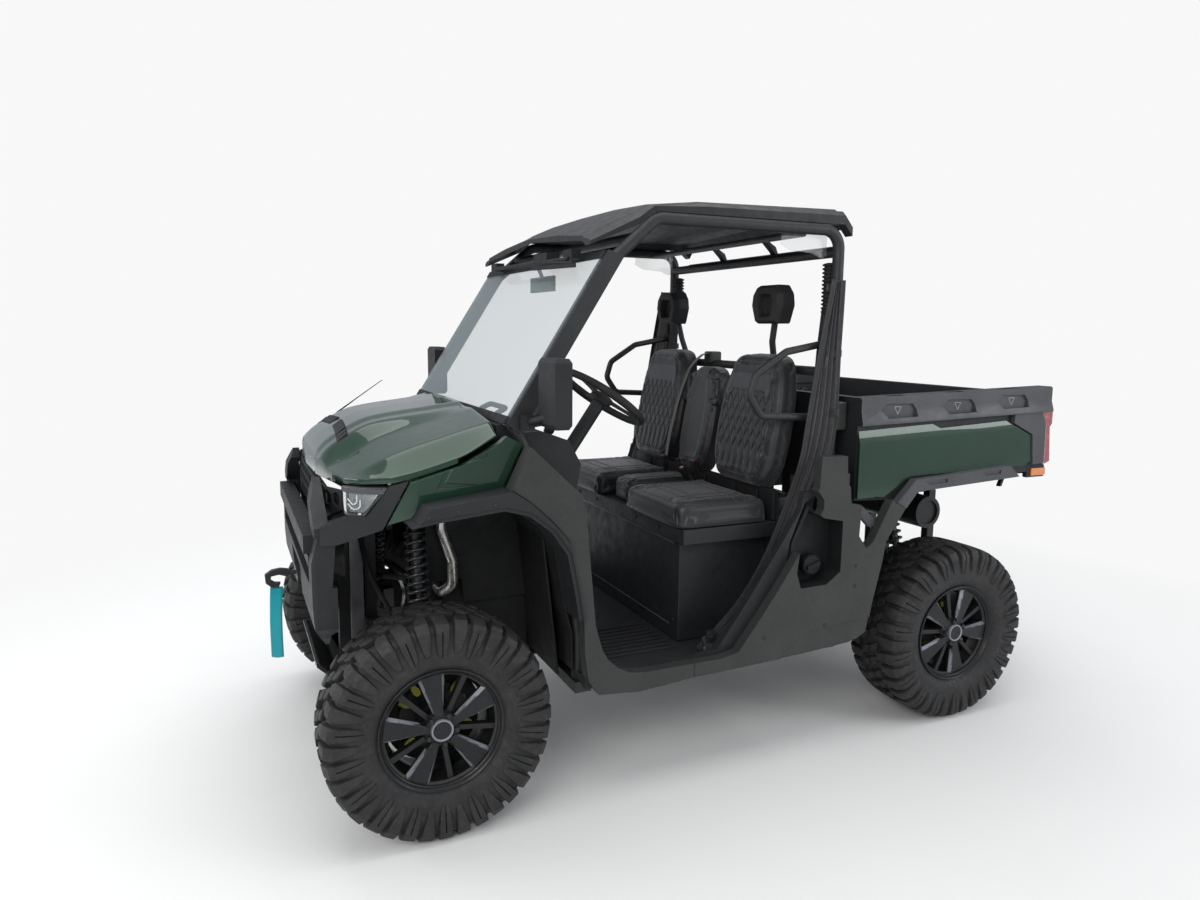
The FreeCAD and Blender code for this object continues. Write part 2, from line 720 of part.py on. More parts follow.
def beside(line, distance):
    """The (dx, z) line's copy at a distance to its right, seen along it."""
    copy = []
    for i, (x, z) in enumerate(line):
        ahead = line[min(i + 1, len(line) - 1)]
        behind = line[max(i - 1, 0)]
        length = math.hypot(ahead[0] - behind[0], ahead[1] - behind[1])
        copy.append((x + (ahead[1] - behind[1]) / length * distance, z - (ahead[0] - behind[0]) / length * distance))
    return copy


def fender_flare():
    """Arch moulding: the band, its lower lip set in by a step, and a blind slot."""
    band = slab_y(at_front(arch_lower + arch_upper[::-1]), flare_inner_y, flare_outer_y)
    lip = at_front(beside(arch_lower, 14) + beside(arch_lower, -10)[::-1])
    band = band.cut(slab_y(lip, flare_outer_y - trim_step, flare_outer_y + 1))
    slot = at_front([(-4, 1085), (-116, 1098), (-104, 1076), (-15, 1068)])
    return band.cut(slab_y(slot, flare_outer_y - trim_step, flare_outer_y + 1))


def wheel_liner():
    """Arch liner: a bent sheet over the wheel and the splash wall on its inner side."""
    path = [(x, z - 0.5) for x, z in at_front(arch_lower + [(-488, 560), (-491, 426)])]
    wall_y = liner_inner_y + liner_thickness
    beam_z = front_tower_top_z - 5 - 0.5
    wall = at_front([(-60, 690), (-60, beam_z), (-146, beam_z), (-146, 1010), (-215, 1030), (-293, 1006), (-366, 948),
                     (-421, 870), (-446, 750), (-464, 640), (-472, 600), (-200, 600), (-190, 690)])
    return joined([strip(path[::-1], liner_thickness, liner_inner_y, flare_inner_y + 40),
                   slab_y(wall, liner_inner_y, wall_y)])


def front_post():
    """Door post with a channel along the flare."""
    foot_z = sill_top_z + seat_clearance
    outline = at_front(arch_upper[2:] + [(-510, foot_z), (-555, foot_z), (-530, 614), (-495, 983), (-480, 1064),
                                         (-304, 1232)])
    post = slab_y(outline, body_y - post_width, body_y)
    # skirt: the post's foot swept back along the sill
    foot = at_front([(-488, 640), (-491, 520), (-506, 420), (-542, 366), (-700, 350)])
    foot += at_rear([(skirt_seam_dx + skirt_gap, 365), (skirt_seam_dx + skirt_gap, sill_top_z)])
    foot += at_front([(-722, sill_top_z), (-660, 427), (-617, 449), (-578, 485), (-556, 523), (-530, 614)])
    post = joined([post, slab_y(foot, skirt_inner_y, body_y)])
    line = arch_upper[2:]
    channel = at_front(beside(line, -20) + beside(line, 4)[::-1])
    return post.cut(slab_y(channel, body_y - groove_depth, body_y + 1))


def side_cowl():
    """Painted side between the hood, the bumper's wedge and the flare, with a swept scoop."""
    top = [(dx, z - lid_gap) for dx, _, z, _, _, _ in hood_rows[:2]]
    nose = [(wedge_line[0][0] - lid_gap, wedge_line[0][1] - 1), (wedge_line[1][0] - lid_gap - 7, 989)]
    outline = at_front([nose[1]] + arch_upper[:3] + [(-304, 1232), (-250, 1262)] + top + [nose[0]])
    plan = [(fx(-320), cowl_y + 10), (fx(40), cowl_y), (fx(260), 590), (fx(250), 560), (fx(30), cowl_y - 30),
            (fx(-320), cowl_y - 20)]
    cowl = slab_y(outline, 400, 760).common(slab_z(plan, 900, 1400))
    scoop = at_front([(-21, 1102), (-58, 1183), (-185, 1209), (-185, 1196), (-75, 1172), (-47, 1120), (-150, 1108)])
    return cowl.cut(slab_y(scoop, cowl_y - 1, cowl_y + 40))


def hood_ear(y):
    """Plate under the lid's rear edge, rounded about the hinge pin."""
    x = fx(hood_hinge_dx)
    low_y = y - hood_ear_half
    plate = slab_y([(x, hood_hinge_z - 9), (fx(-205), hood_hinge_z - 9), (fx(-205), 1318), (fx(-224), 1320),
                    (x, hood_hinge_z + 9)], low_y, y + hood_ear_half)
    return joined([plate, rod((x, low_y, hood_hinge_z), (x, y + hood_ear_half, hood_hinge_z), 9)])


def hood_hinge_brackets():
    """Pairs of lugs on the cowl with the pins that the lid's ears turn on."""
    pieces = []
    x = fx(hood_hinge_dx)
    for y in (-hood_hinge_y, hood_hinge_y):
        for sign in (-1, 1):
            inner = y + sign * (hood_ear_half + 0.5)
            outer = inner + sign * 8
            pieces.append(block(x - 14, x + 8, min(inner, outer), max(inner, outer), 1270, hood_hinge_z + 8))
        pieces.append(rod((x, y - hood_ear_half - 6, hood_hinge_z), (x, y + hood_ear_half + 6, hood_hinge_z),
                          hood_pin_radius))
    return pieces


def hood_envelope(drop):
    """The hood's outer form, closed below and lowered by the drop."""
    sections = []
    for dx, w, edge, shoulder, band, crown in hood_rows:
        half = [(w, 1000), (w, min(edge + hood_side_height, shoulder - 4)), (w - 70, shoulder), (370, band),
                (300, crown - 15), (240, crown - 12), (210, crown - 2), (0, crown)]
        half = [(y, min(z, crown)) for y, z in half]
        ring = [(fx(dx), y, z - drop) for y, z in half]
        ring += [(fx(dx), -y, z - drop) for y, z in reversed(half[:-1])]
        sections.append(ring)
    return ruled_loft(sections)


def hood_outline(inset):
    """The hood's plan on both sides, its front and sides moved in by the inset."""
    half = [(fx(dx - inset if dx > 0 else dx), max(y - inset, 0)) for dx, y in hood_plan]
    return half + [(x, -y) for x, y in reversed(half[:-1])]


def hood_lid():
    """Opening hood: a creased skin of even thickness with hinge ears at its rear edge."""
    outer = hood_envelope(0).common(slab_z(hood_outline(0), 1050, 1400))
    inner = hood_envelope(hood_thickness).common(slab_z(hood_outline(hood_thickness), 900, 1400))
    lid = outer.cut(inner)
    edge = [(dx, z) for dx, _, z, _, _, _ in hood_rows]
    below = at_front([(-240, 1000), (-240, 1253)] + edge + [(330, 1096), (330, 1000)])
    for low, high in ((428, 700), (-700, -428)):
        lid = lid.cut(slab_y(below, low, high))
    lid = lid.cut(block(fx(-300), fx(400), -429, 429, 1000, 1100))
    lid = joined([lid] + [hood_ear(y) for y in (-hood_hinge_y, hood_hinge_y)])
    x = fx(hood_hinge_dx)
    for y in (-hood_hinge_y, hood_hinge_y):
        lid = lid.cut(rod((x, y - 30, hood_hinge_z), (x, y + 30, hood_hinge_z), hood_pin_radius + running_clearance))
    return lid


def bumper_plan():
    """Plan of the bumper's wall, bowed in front and turned back beside the lamps."""
    front = [(362, 0), (360, 300), (356, 590), (281, 625), (143, 645), (67, 678)]
    back = [(bumper_rear_dx, 0), (bumper_rear_dx, 556), (262, 590), (137, 612), (67, 646)]
    half = [(fx(dx), y) for dx, y in front] + [(fx(dx), y) for dx, y in reversed(back)]
    return half, [(x, -y) for x, y in half]


def front_bumper():
    """Bumper moulding: low bar with the winch window, leaning legs, side bands that rise beside
    the lamps, braces up to the nose and two plain bars across the mouth."""
    left_plan, right_plan = bumper_plan()
    wall = joined([slab_z(left_plan, 540, 1140), slab_z(right_plan, 540, 1140)])
    lean = slab_y(at_front([(0, 540), (300, 548), (352, 657), (360, 800), (358, 950), (345, 1040), (325, 1100),
                            (325, 1140), (0, 1140)]), -720, 720)
    face = wall.common(lean)
    low_outline = [(400, 548), (500, 575), (596, 657), (596, 790)]
    low_outline += [(-y, z) for y, z in reversed(low_outline)]
    leg = at_front([(270, 587), (306, 560), (363, 672), (363, 765), (356, 873), (328, 988), (281, 934), (298, 757)])
    band = at_front(wedge_line[:1] + [(118, 1115), (146, 1077), (188, lamp_foot_z), (250, lamp_foot_z), (328, 988),
                                      (330, 930), (281, 934)] + wedge_line[1:])
    brace = [(596, 955), (596, 985), (430, 1096), (372, 1112), (362, 1072), (410, 1040), (515, 955)]
    pieces = [face.common(slab_x(low_outline, fx(280), fx(380)))]
    for side in (-1, 1):
        leg_pair = sorted((side * 515, side * 596))
        band_pair = sorted((side * 515, side * 700))
        column = face.common(slab_y(leg, leg_pair[0], leg_pair[1]))
        pieces.append(column.cut(block(fx(200), fx(400), -600, 600, 500, 657)))
        pieces.append(wall.common(slab_y(band, band_pair[0], band_pair[1])))
        pieces.append(slab_x([(side * y, z) for y, z in brace], fx(300), fx(345)).common(lean))
    # bars across the mouth: front dx, lower z, upper z
    for front_dx, low, high in ((372, 890, 950), (358, 845, 883)):
        pieces.append(block(fx(bumper_rear_dx + 20), fx(front_dx), -520, 520, low, high))
    window = block(fx(180), fx(380), -bumper_window_half, bumper_window_half, 612, 762)
    return joined(pieces).cut(window)


def grille():
    """Honeycomb mouth: a plate of hexagonal holes with wings turned back to the lamps and two
    ribs that stand on the frame's hoop."""
    t = grille_thickness
    front = [(-540, 252), (-440, grille_front_dx), (440, grille_front_dx), (540, 252)]
    plan = [(fx(dx), y) for y, dx in front] + [(fx(dx - t), y) for y, dx in reversed(front)]
    mouth = [(-440, 795), (440, 795), (440, 985), (538, 1026), (538, 1092), (-538, 1092), (-538, 1026), (-440, 985)]
    plate = slab_z(plan, 780, 1100).common(slab_x(mouth, fx(200), fx(320)))
    row_pitch = grille_pitch * math.sqrt(3) / 2
    holes = []
    for row in range(7):
        z = 822 + row * row_pitch
        shift = grille_pitch / 2 if row % 2 else 0.0
        count = 7
        for i in range(-count, count + 1):
            y = i * grille_pitch + shift
            if abs(y) < 400:
                holes.append(hexagon(y, z))
    for side in (-1, 1):
        for y, z in ((462, 1058), (510, 1058)):
            holes.append(hexagon(side * y, z))
    plate = plate.cut(Part.makeCompound(holes))
    hoop_face = fx(hoop_dx) + 2 * post_half + seat_clearance
    ribs = [block(hoop_face, fx(grille_front_dx - t / 2), y - 4, y + 4, 795, 915) for y in (-208, 208)]
    return joined([plate] + ribs)


def hexagon(y, z):
    """A hexagonal hole's prism through the grille, points up."""
    corners = []
    for i in range(6):
        angle = math.radians(60 * i + 30)
        corners.append((y + grille_hole_radius * math.cos(angle), z + grille_hole_radius * math.sin(angle)))
    return slab_x(corners, fx(235), fx(320))


def headlight():
    """Lamp unit that stands on the bumper's band behind its wedge."""
    foot = lamp_foot_z + seat_clearance
    outline = at_front([(250, 1108), (126, 1106), (150, 1077), (196, foot), (246, foot)])
    plan = [(fx(dx), y) for dx, y in ((250, 548), (242, 590), (190, 630), (128, 648), (118, 600), (190, 545))]
    return slab_y(outline, 400, 700).common(slab_z(plan, 900, 1200))


def radiator():
    return block(fx(hoop_dx) - radiator_depth, fx(hoop_dx), -235, 235, 480, 868)


def winch():
    """Drum housing on the frame's front plate, its fairlead and its hook."""
    x = fx(rail_front_dx)
    fairlead_x = x + 86
    return joined([
        block(x, x + 74, -150, -78, 620, 745),
        block(x, x + 74, 78, 150, 620, 745),
        rod((x + 38, -100, 684), (x + 38, 100, 684), 36),
        block(x + 60, fairlead_x, -110, 110, 640, 730),
        block(fairlead_x - 2, fairlead_x + 24, -70, 70, 668, 706),
        rod((fairlead_x, 0, 690), (fairlead_x + 60, 0, 690), 8),
        hook(fairlead_x + 50),
    ])


def hook(x):
    outline = [(x, 676), (x, 704), (x + 30, 710), (x + 60, 706), (x + 84, 690), (x + 82, 660), (x + 62, 642),
               (x + 36, 642), (x + 30, 656), (x + 50, 658), (x + 64, 668), (x + 62, 684), (x + 34, 688)]
    return slab_y(outline, -12, 12)


def coolant_pipe():
    """Bent pipe from the front tower's beam down to the frame's post, on the left."""
    foot_y = rail_y + post_half + seat_clearance
    return bent_tube([
        (fx(-112), coolant_pipe_y, front_tower_top_z - 5 - seat_clearance),
        (fx(-112), coolant_pipe_y, 890),
        (fx(-150), coolant_pipe_y, 771),
        (fx(-152), coolant_pipe_y, 680),
        (fx(-122), coolant_pipe_y - 50, 640),
        (fx(-122), foot_y, 640),
    ], 40, coolant_pipe_radius)


def winch_strap():
    x = fx(rail_front_dx) + 86 + 50 + 40
    return slab_y([(x, 641.7), (x + 6, 641.7), (x + 16, 363), (x + 10, 363)], -20, 20)


def mirror_unit():
    """Side mirror: housing, pivot arm and a foot on the pillar."""
    housing = pillow(fx(-410), fx(-352), 712, 862, 1292, 1514, 8, 14)
    arm_piece = rod((fx(-382), 790, 1330), (fx(-322), 680, 1300), 13)
    foot = block(fx(-345), fx(-300), 673.3, 700, 1276, 1326)
    return joined([housing, arm_piece, foot])


# Cabin

def seat_back_foot_z():
    """Lowest point of the leaned seat backs."""
    drop = (seat_back_half - seat_back_inset) * math.sin(math.radians(seat_back_lean))
    return seat_top_z + seat_back_gap - drop


def floor_tub():
    """Floor pan, sloped toe board, rear bulkhead and the outer sills."""
    low = floor_z - floor_thickness
    pan = block(rx(800), fx(-555), -cabin_half_width, cabin_half_width, low, floor_z)
    toe = at_front([(-566, low), (-540, low), (-500, 560), (-484, 745), (-452, 872), (-410, 930), (-408, 940),
                    (-420, 940), (-462, 878), (-494, 748), (-510, 562), (-566, floor_z)])
    toe_board = slab_y(toe, -612, 612)
    bulkhead = block(rx(800), rx(810), -600, 600, low, seat_back_foot_z() - seat_clearance)
    sill_y = skirt_inner_y - seat_clearance
    sill_section = [(cabin_half_width - 2, low), (702, low), (sill_y, 372), (sill_y, sill_top_z),
                    (712, sill_top_z), (706, sill_top_z - trim_step), (672, sill_top_z - trim_step),
                    (cabin_half_width - 2, floor_z)]
    pieces = [pan, toe_board, bulkhead]
    for side in (-1, 1):
        section = [(side * y, z) for y, z in sill_section]
        pieces.append(slab_x(section, rx(1170), fx(-510)))
        y_pair = sorted((side * (cabin_half_width - 2), side * 700))
        pieces.append(block(rx(800), rx(1172), y_pair[0], y_pair[1], low, floor_z))
        frame_pair = sorted((side * (sill_y - 30), side * sill_y))
        pieces.append(slab_y(door_rear_frame(), frame_pair[0], frame_pair[1]))
    tub = joined(pieces)
    for side in (-1, 1):
        tub = tub.cut(cage_leg(side, cage_tube_radius + seat_clearance))
    return tub


def door_rear_frame():
    """Side outline of the black frame along the door's rear edge."""
    return at_rear([(1255, sill_top_z - 20), (1255, sill_top_z + 1), (1160, 436), (1060, 566), (975, 684), (890, 806),
                    (806, 930), (790, 1000), (700, 1000), (785, 962), (800, 930), (850, 812), (864, 700), (905, 640),
                    (950, 559), (1050, sill_top_z - 20)])


def dashboard():
    """Dash moulding with the cowl under the screen and the steering column's shroud."""
    outline = at_front([(-408, 940.3), (-365, 1095), (-318, 1226), (-240, 1240), (-240, 1288), (-262, 1290),
                        (-318, 1258), (-400, 1262), (-500, 1225), (-545, 1140), (-525, 1030), (-460, 940.3)])
    dash = slab_y(outline, -cabin_half_width + 20, cabin_half_width - 20)
    centre = (fx(steering_centre[0]), steering_y, steering_centre[1])
    lean = math.radians(steering_tilt)
    down = (math.sin(lean), -math.cos(lean))
    hub = steering_hub_depth + seat_clearance
    start = (centre[0] + down[0] * hub, steering_y, centre[2] + down[1] * hub)
    end = (centre[0] + down[0] * 345, steering_y, centre[2] + down[1] * 345)
    column = rod(start, end, 26)
    return joined([dash, column] + hood_hinge_brackets())


def steering_wheel():
    """Rim, three spokes and hub, laid flat and then leaned with the column."""
    pieces = [Part.makeTorus(steering_rim_radius, steering_tube_radius),
              Part.makeCylinder(42, steering_hub_depth + 10, Vector(0, 0, -steering_hub_depth))]
    for angle in (90, 210, 330):
        spoke = Part.makeBox(steering_rim_radius - 30, 30, 10, Vector(30, -15, -6))
        spoke.rotate(Vector(0, 0, 0), Vector(0, 0, 1), angle + 90)
        pieces.append(spoke)
    wheel = joined(pieces)
    wheel.rotate(Vector(0, 0, 0), Vector(0, 1, 0), -steering_tilt)
    wheel.translate(Vector(fx(steering_centre[0]), steering_y, steering_centre[1]))
    return wheel


def seat_base():
    """Storage box under the bench and the deck that the cushions lie on."""
    box = block(rx(810), rx(seat_base_front_dx), -seat_base_half_width, seat_base_half_width, floor_z, 802)
    deck = block(rx(810), rx(seat_base_front_dx + 20), -600, 600, 800, seat_deck_z)
    return joined([box, deck])


def seat_ranges():
    """(low, high) Y of the passenger's, middle and driver's seats."""
    return [(-bench_half_width, -middle_seat_half - seat_split),
            (-middle_seat_half, middle_seat_half),
            (middle_seat_half + seat_split, bench_half_width)]


def seat_cushions():
    pads = []
    for i, (y_low, y_high) in enumerate(seat_ranges()):
        front = rx(bench_front_dx) if i != 1 else rx(bench_front_dx - 60)
        pads.append(pillow(rx(bench_rear_dx), front, y_low, y_high, seat_deck_z + seat_clearance, seat_top_z, 12, 22))
    return pads


def seat_backs():
    pads = []
    # low y, high y, height
    rows = [(-610, -150, 560), (-138, 138, 490), (150, 610, 560)]
    for y_low, y_high, height in rows:
        pad = pillow(-seat_back_half, seat_back_half, y_low, y_high, 0, height, seat_back_inset, 30)
        pad.rotate(Vector(0, 0, 0), Vector(0, 1, 0), -seat_back_lean)
        pad.translate(Vector(rx(838), 0, seat_top_z + seat_back_gap))
        pads.append(pad)
    return pads


def headrests():
    blocks = []
    for y in (-414, 414):
        outline = [(y - 100, 1705), (y - 72, 1632), (y + 72, 1632), (y + 100, 1705), (y + 92, 1752),
                   (y + 62, 1786), (y - 62, 1786), (y - 92, 1752)]
        head = slab_x(outline, rx(690), rx(775))
        blocks.append(head.cut(cage_headrest_tube(y)))
    return blocks


def cage_headrest_tube(y):
    """The space round the cage's headrest tube."""
    side = 1 if y > 0 else -1
    return bent_tube([
        (rx(shoulder_bar_dx), y - side * 60, shoulder_bar_z),
        (rx(700), y - side * 40, 1560), (rx(712), y, 1690),
    ], 60, 13 + seat_clearance)


def seat_belts():
    """Ribbed belt guides on the rear pillars and the buckles between the seats."""
    pieces = []
    rear_x = rx(rear_pillar_dx)
    for side in (-1, 1):
        y_pair = sorted((side * 586, side * (pillar_y - cage_tube_radius - seat_clearance)))
        pieces.append(block(rear_x - 20, rear_x + 20, y_pair[0], y_pair[1], 1680, 1860))
    for y in (-140, 30, 150):
        pieces.append(block(rx(896), rx(922), y - 14, y + 14, seat_top_z + seat_clearance, seat_top_z + 70))
    return pieces


def side_net():
    """Gathered mesh that hangs from the rear pillar down to the sill."""
    foot_z = sill_top_z - trim_step + seat_clearance
    outline = at_rear([(645, 1797), (770, 1100), (885, 800), (1040, 560), (1200, foot_z),
                       (1100, foot_z), (840, 640), (680, 1000), (600, 1243), (600, 1797)])
    return slab_y(outline, pillar_y + 24, pillar_y + 36)


# Rear body

def rear_quarter(with_pocket):
    """Rear side panel with its low guard ahead of the wheel."""
    outline = at_rear([
        (748, 1140), (753, 1021), (760, 1010), (731, 974), (730, 939), (816, 804), (902, 677), (987, 563), (1093, 431),
        (1160, sill_top_z), (skirt_seam_dx, sill_top_z), (skirt_seam_dx, 364), (1063, 371), (813, 377), (582, 390), (536, 400), (492, 422), (470, 544),
        (430, 704), (415, 787), (325, 909), (395, 947), (482, 789), (515, 766), (553, 818), (548, 940),
        (600, 950), (607, 1018), (621, 1026), (628, 1136),
    ])
    inner_y = body_y - quarter_thickness
    panel = slab_y(outline, inner_y, body_y)
    below = at_rear([(1300, 340), (1151, 352), (919, 363), (829, 446), (774, 466), (440, 486), (440, 340)])
    panel = panel.cut(slab_y(below, body_y - trim_step, body_y + 1))
    pillar_x = rx(rear_pillar_dx)
    lip = [block(pillar_x - 22, pillar_x + 22, pillar_y + cage_tube_radius + seat_clearance, inner_y + 2, z, z + 60)
           for z in (480, 1000)]
    panel = joined([panel] + lip)
    if with_pocket:
        pocket = at_rear([(767, 935), (830, 805), (843, 701), (822, 640), (703, 642), (638, 686), (636, 885),
                          (728, 904)])
        wall = at_rear([(777, 948), (842, 810), (855, 699), (830, 628), (698, 630), (626, 680), (624, 896),
                        (722, 918)])
        cup = slab_y(wall, pocket_y - 6, inner_y + 2).cut(slab_y(pocket, pocket_y, body_y + 15))
        panel = panel.cut(slab_y(pocket, pocket_y - 6, body_y + 15))
        panel = joined([panel, cup])
    return panel


def fuel_cap():
    """Threaded cap with a grip bar, in the pocket of the left rear panel."""
    x = rx(732)
    foot_y = pocket_y + seat_clearance
    cap = rod((x, foot_y, 709), (x, foot_y + 22, 709), 38)
    neck = rod((x, foot_y + 22, 709), (x, foot_y + 28, 709), 30)
    grip = block(x - 32, x + 32, foot_y + 20, foot_y + 40, 703, 715)
    return joined([cap, neck, grip])


def power_unit():
    """Engine and gearbox as one plain block at its real place."""
    return block(rx(125), rx(760), -165, 165, rail_top_z, 770)


def muffler():
    x = rx(-295)
    can = rod((x, -260, 744), (x, 300, 744), 78)
    bore = rod((x, 288, 744), (x, 301, 744), 58)
    straps = [block(x - 20, x + 20, y - 10, y + 10, 810, bed_rail_bottom_z) for y in (-205, 205)]
    return joined([can] + straps).cut(bore)


# Bed

def bed_side_outline():
    return at_rear([(bed_front_dx, 945), (330, 935), (256, 990), (bed_rear_dx, 1004),
                    (bed_rear_dx, bed_rail_rear_z - 20), (bed_front_dx, bed_rail_front_z - 20)])


def bed_rail(side):
    """Top rail of the bed's side: its outer face, the sloping band below and three pockets."""
    inner_y = bed_half_width - bed_wall - 6
    sections = []
    for dx, top, face in ((bed_front_dx, bed_rail_front_z, 52), (bed_rear_dx, bed_rail_rear_z, 62)):
        section = [(inner_y, 0), (rail_face_y - 6, 0), (rail_face_y, -8), (rail_face_y, -face),
                   (rail_face_y + 12, -100), (rail_face_y + 12, -108), (bed_half_width - 6, -108), (inner_y, -60)]
        sections.append([(rx(dx), side * y, top + z) for y, z in section])
    rail = ruled_loft(sections)
    # pockets: centre dx, centre z; outline about the centre
    shape = [(93, 3), (61, 29), (-68, 27), (-90, 2), (-93, -26), (57, -30)]
    pair = sorted((side * (rail_face_y - bed_pocket_depth), side * (rail_face_y + 20)))
    for dx, z in ((345, 1296), (26, 1304), (-282, 1315)):
        pocket = at_rear([(dx + x, z + rise) for x, rise in shape])
        rail = rail.cut(slab_y(pocket, pair[0], pair[1]))
        top_pair = sorted((side * (bed_half_width - 30), side * (bed_half_width + 2)))
        rail = rail.cut(block(rx(dx - 45), rx(dx + 45), top_pair[0], top_pair[1], z + 34, 1400))
    return rail


def bed_end_trim(side):
    """Raised moulding at the rear end of the bed's side, between the panel and the lamp."""
    outline = at_rear([(-300, 1258), (-460, 1270), (-493, 1214), (-497, 1040), (-430, 1036), (-428, 1049),
                       (-415, 1169), (-300, 1222)])
    pair = sorted((side * (bed_half_width - 6), side * (rail_face_y + 2)))
    return slab_y(outline, pair[0], pair[1])


def bed_tub():
    """Open box: two side walls with rails, front wall, floor and the runners under it."""
    pieces = []
    inner_y = bed_half_width - bed_wall
    for side in (-1, 1):
        y_pair = sorted((side * inner_y, side * bed_half_width))
        pieces.append(slab_y(bed_side_outline(), y_pair[0], y_pair[1]))
        pieces.append(bed_rail(side))
        pieces.append(bed_end_trim(side))
        pieces.append(rod((rx(bed_rear_dx), side * inner_y, tailgate_hinge_z),
                          (rx(bed_rear_dx), side * (inner_y + 28), tailgate_hinge_z), tailgate_barrel_radius + 4))
        runner = sorted((side * 235, side * 175))
        pieces.append(block(rx(bed_hinge_dx + 50), rx(bed_front_dx - 60), runner[0], runner[1],
                            bed_rail_top_z + seat_clearance, bed_bottom_z + 2))
        for y in (side * 187, side * 223):
            lug_low = y - 5
            x = rx(bed_hinge_dx)
            pieces.append(slab_y([(x - bed_lug_radius, bed_hinge_z), (x + bed_lug_radius, bed_hinge_z),
                                  (x + 60, bed_bottom_z + 2), (x - 40, bed_bottom_z + 2)], lug_low, lug_low + 10))
            pieces.append(rod((x, lug_low, bed_hinge_z), (x, lug_low + 10, bed_hinge_z), bed_lug_radius))
        pieces.append(rod((rx(bed_hinge_dx), side * 205 - 20, bed_hinge_z),
                          (rx(bed_hinge_dx), side * 205 + 20, bed_hinge_z), bed_pin_radius))
    pieces.append(block(rx(bed_rear_dx + 45), rx(bed_front_dx), -inner_y - 2, inner_y + 2, bed_bottom_z, bed_floor_z))
    pieces.append(block(rx(bed_front_dx - 45), rx(bed_front_dx), -inner_y - 2, inner_y + 2,
                        bed_bottom_z, bed_rail_front_z))
    tub = joined(pieces)
    for side in (-1, 1):
        tub = tub.cut(rod((rx(bed_rear_dx), side * (inner_y - 1), tailgate_hinge_z),
                          (rx(bed_rear_dx), side * (inner_y + tailgate_pin_reach), tailgate_hinge_z),
                          tailgate_pin_radius + running_clearance))
    return tub


def bed_panel():
    """Painted outer skin of the bed's side, its upper part sloped inward above a crease."""
    outline = at_rear([(530, 1220), (148, 1235), (109, 1216), (-264, 1233), (-410, 1165), (-423, 1049), (-378, 1033),
                       (266, 1027), (393, 953), (530, 954)])
    outer_y = bed_half_width + bed_panel_thickness
    panel = slab_y(outline, bed_half_width, outer_y)
    sections = []
    for dx, crease in ((560, 1167), (-440, 1200)):
        sections.append([(rx(dx), outer_y, crease), (rx(dx), outer_y + 9, crease), (rx(dx), outer_y + 9, crease + 90),
                         (rx(dx), outer_y - 12 * 90 / 52, crease + 90)])
    facet = ruled_loft(sections)
    return panel.cut(facet)


def bed_arch_strip():
    """Arch moulding on the lower edge of the bed's side, with two blind slots and its foot."""
    inner_y = bed_half_width + bed_panel_thickness
    outer_y = inner_y + 34
    outline = at_rear([(353, 932), (263, 1018), (-265, 1042), (-321, 994), (187, 972), (250, 969), (307, 905)])
    band = slab_y(outline, inner_y, outer_y)
    for slot in ([(213, 1008), (95, 1013), (93, 997), (189, 993)], [(-103, 1026), (-211, 1030), (-207, 1014),
                                                                   (-124, 1011)]):
        band = band.cut(slab_y(at_rear(slot), outer_y - trim_step, outer_y + 1))
    foot = slab_y(at_rear([(200, 1006), (200, 1018), (-200, 1022), (-200, 1006)]), bed_half_width, inner_y + 2)
    return joined([band, foot])


def tail_lamp():
    """Lamp on the bed's rear corner, wrapped round onto its rear face."""
    outline = at_rear([(-464, 1264), (-536, 1264), (-536, 1212), (-524, 1196), (-538, 1045), (-503, 1033),
                       (-498, 1210)])
    side_face = slab_y(outline, bed_half_width, bed_half_width + 16)
    rear_face = block(rx(bed_rear_dx - 16), rx(bed_rear_dx), bed_half_width - 40, bed_half_width + 8, 1204, 1262)
    return joined([side_face, rear_face])


def tailgate():
    """Drop gate between the bed's sides, hinged at its outer lower edge."""
    inner = bed_half_width - bed_wall - lid_gap
    rear_x = rx(bed_rear_dx)
    gate = block(rear_x, rear_x + tailgate_thickness, -inner, inner, tailgate_hinge_z - 6, 1340)
    barrel = rod((rear_x, -inner, tailgate_hinge_z), (rear_x, inner, tailgate_hinge_z), tailgate_barrel_radius)
    pin_end = inner + lid_gap + tailgate_pin_reach - 1
    pin = rod((rear_x, -pin_end, tailgate_hinge_z), (rear_x, pin_end, tailgate_hinge_z), tailgate_pin_radius)
    return joined([gate, barrel, pin])


# Where each node's solids come from
left_front = rim(front_axle_x, front_wheel_y, front_rim_width, front_upright_y, front_blade_turn)
left_rear = rim(rear_axle_x, rear_wheel_y, rear_rim_width, rear_upright_y, rear_blade_turn)
front_tyre = tyre(front_axle_x, front_wheel_y, front_tyre_width)
rear_tyre = tyre(rear_axle_x, rear_wheel_y, rear_tyre_width)
front_foot = shock_foot(front_upright_y, front_shock_foot_y)
rear_foot = shock_foot(rear_upright_y, rear_shock_foot_y)
arms = []
for axle_x, upright_y, bar_y in ((front_axle_x, front_upright_y, front_shock_foot_y),
                                 (rear_axle_x, rear_upright_y, rear_shock_foot_y)):
    lower = arm(axle_x, lower_pivot_dx, lower_pivot_y, lower_pivot_z, upright_y, lower_boss_z(), None)
    upper = arm(axle_x, upper_pivot_dx, upper_pivot_y, upper_pivot_z, upright_y, upper_boss_z(), bar_y)
    arms += both_sides(lower) + both_sides(upper)

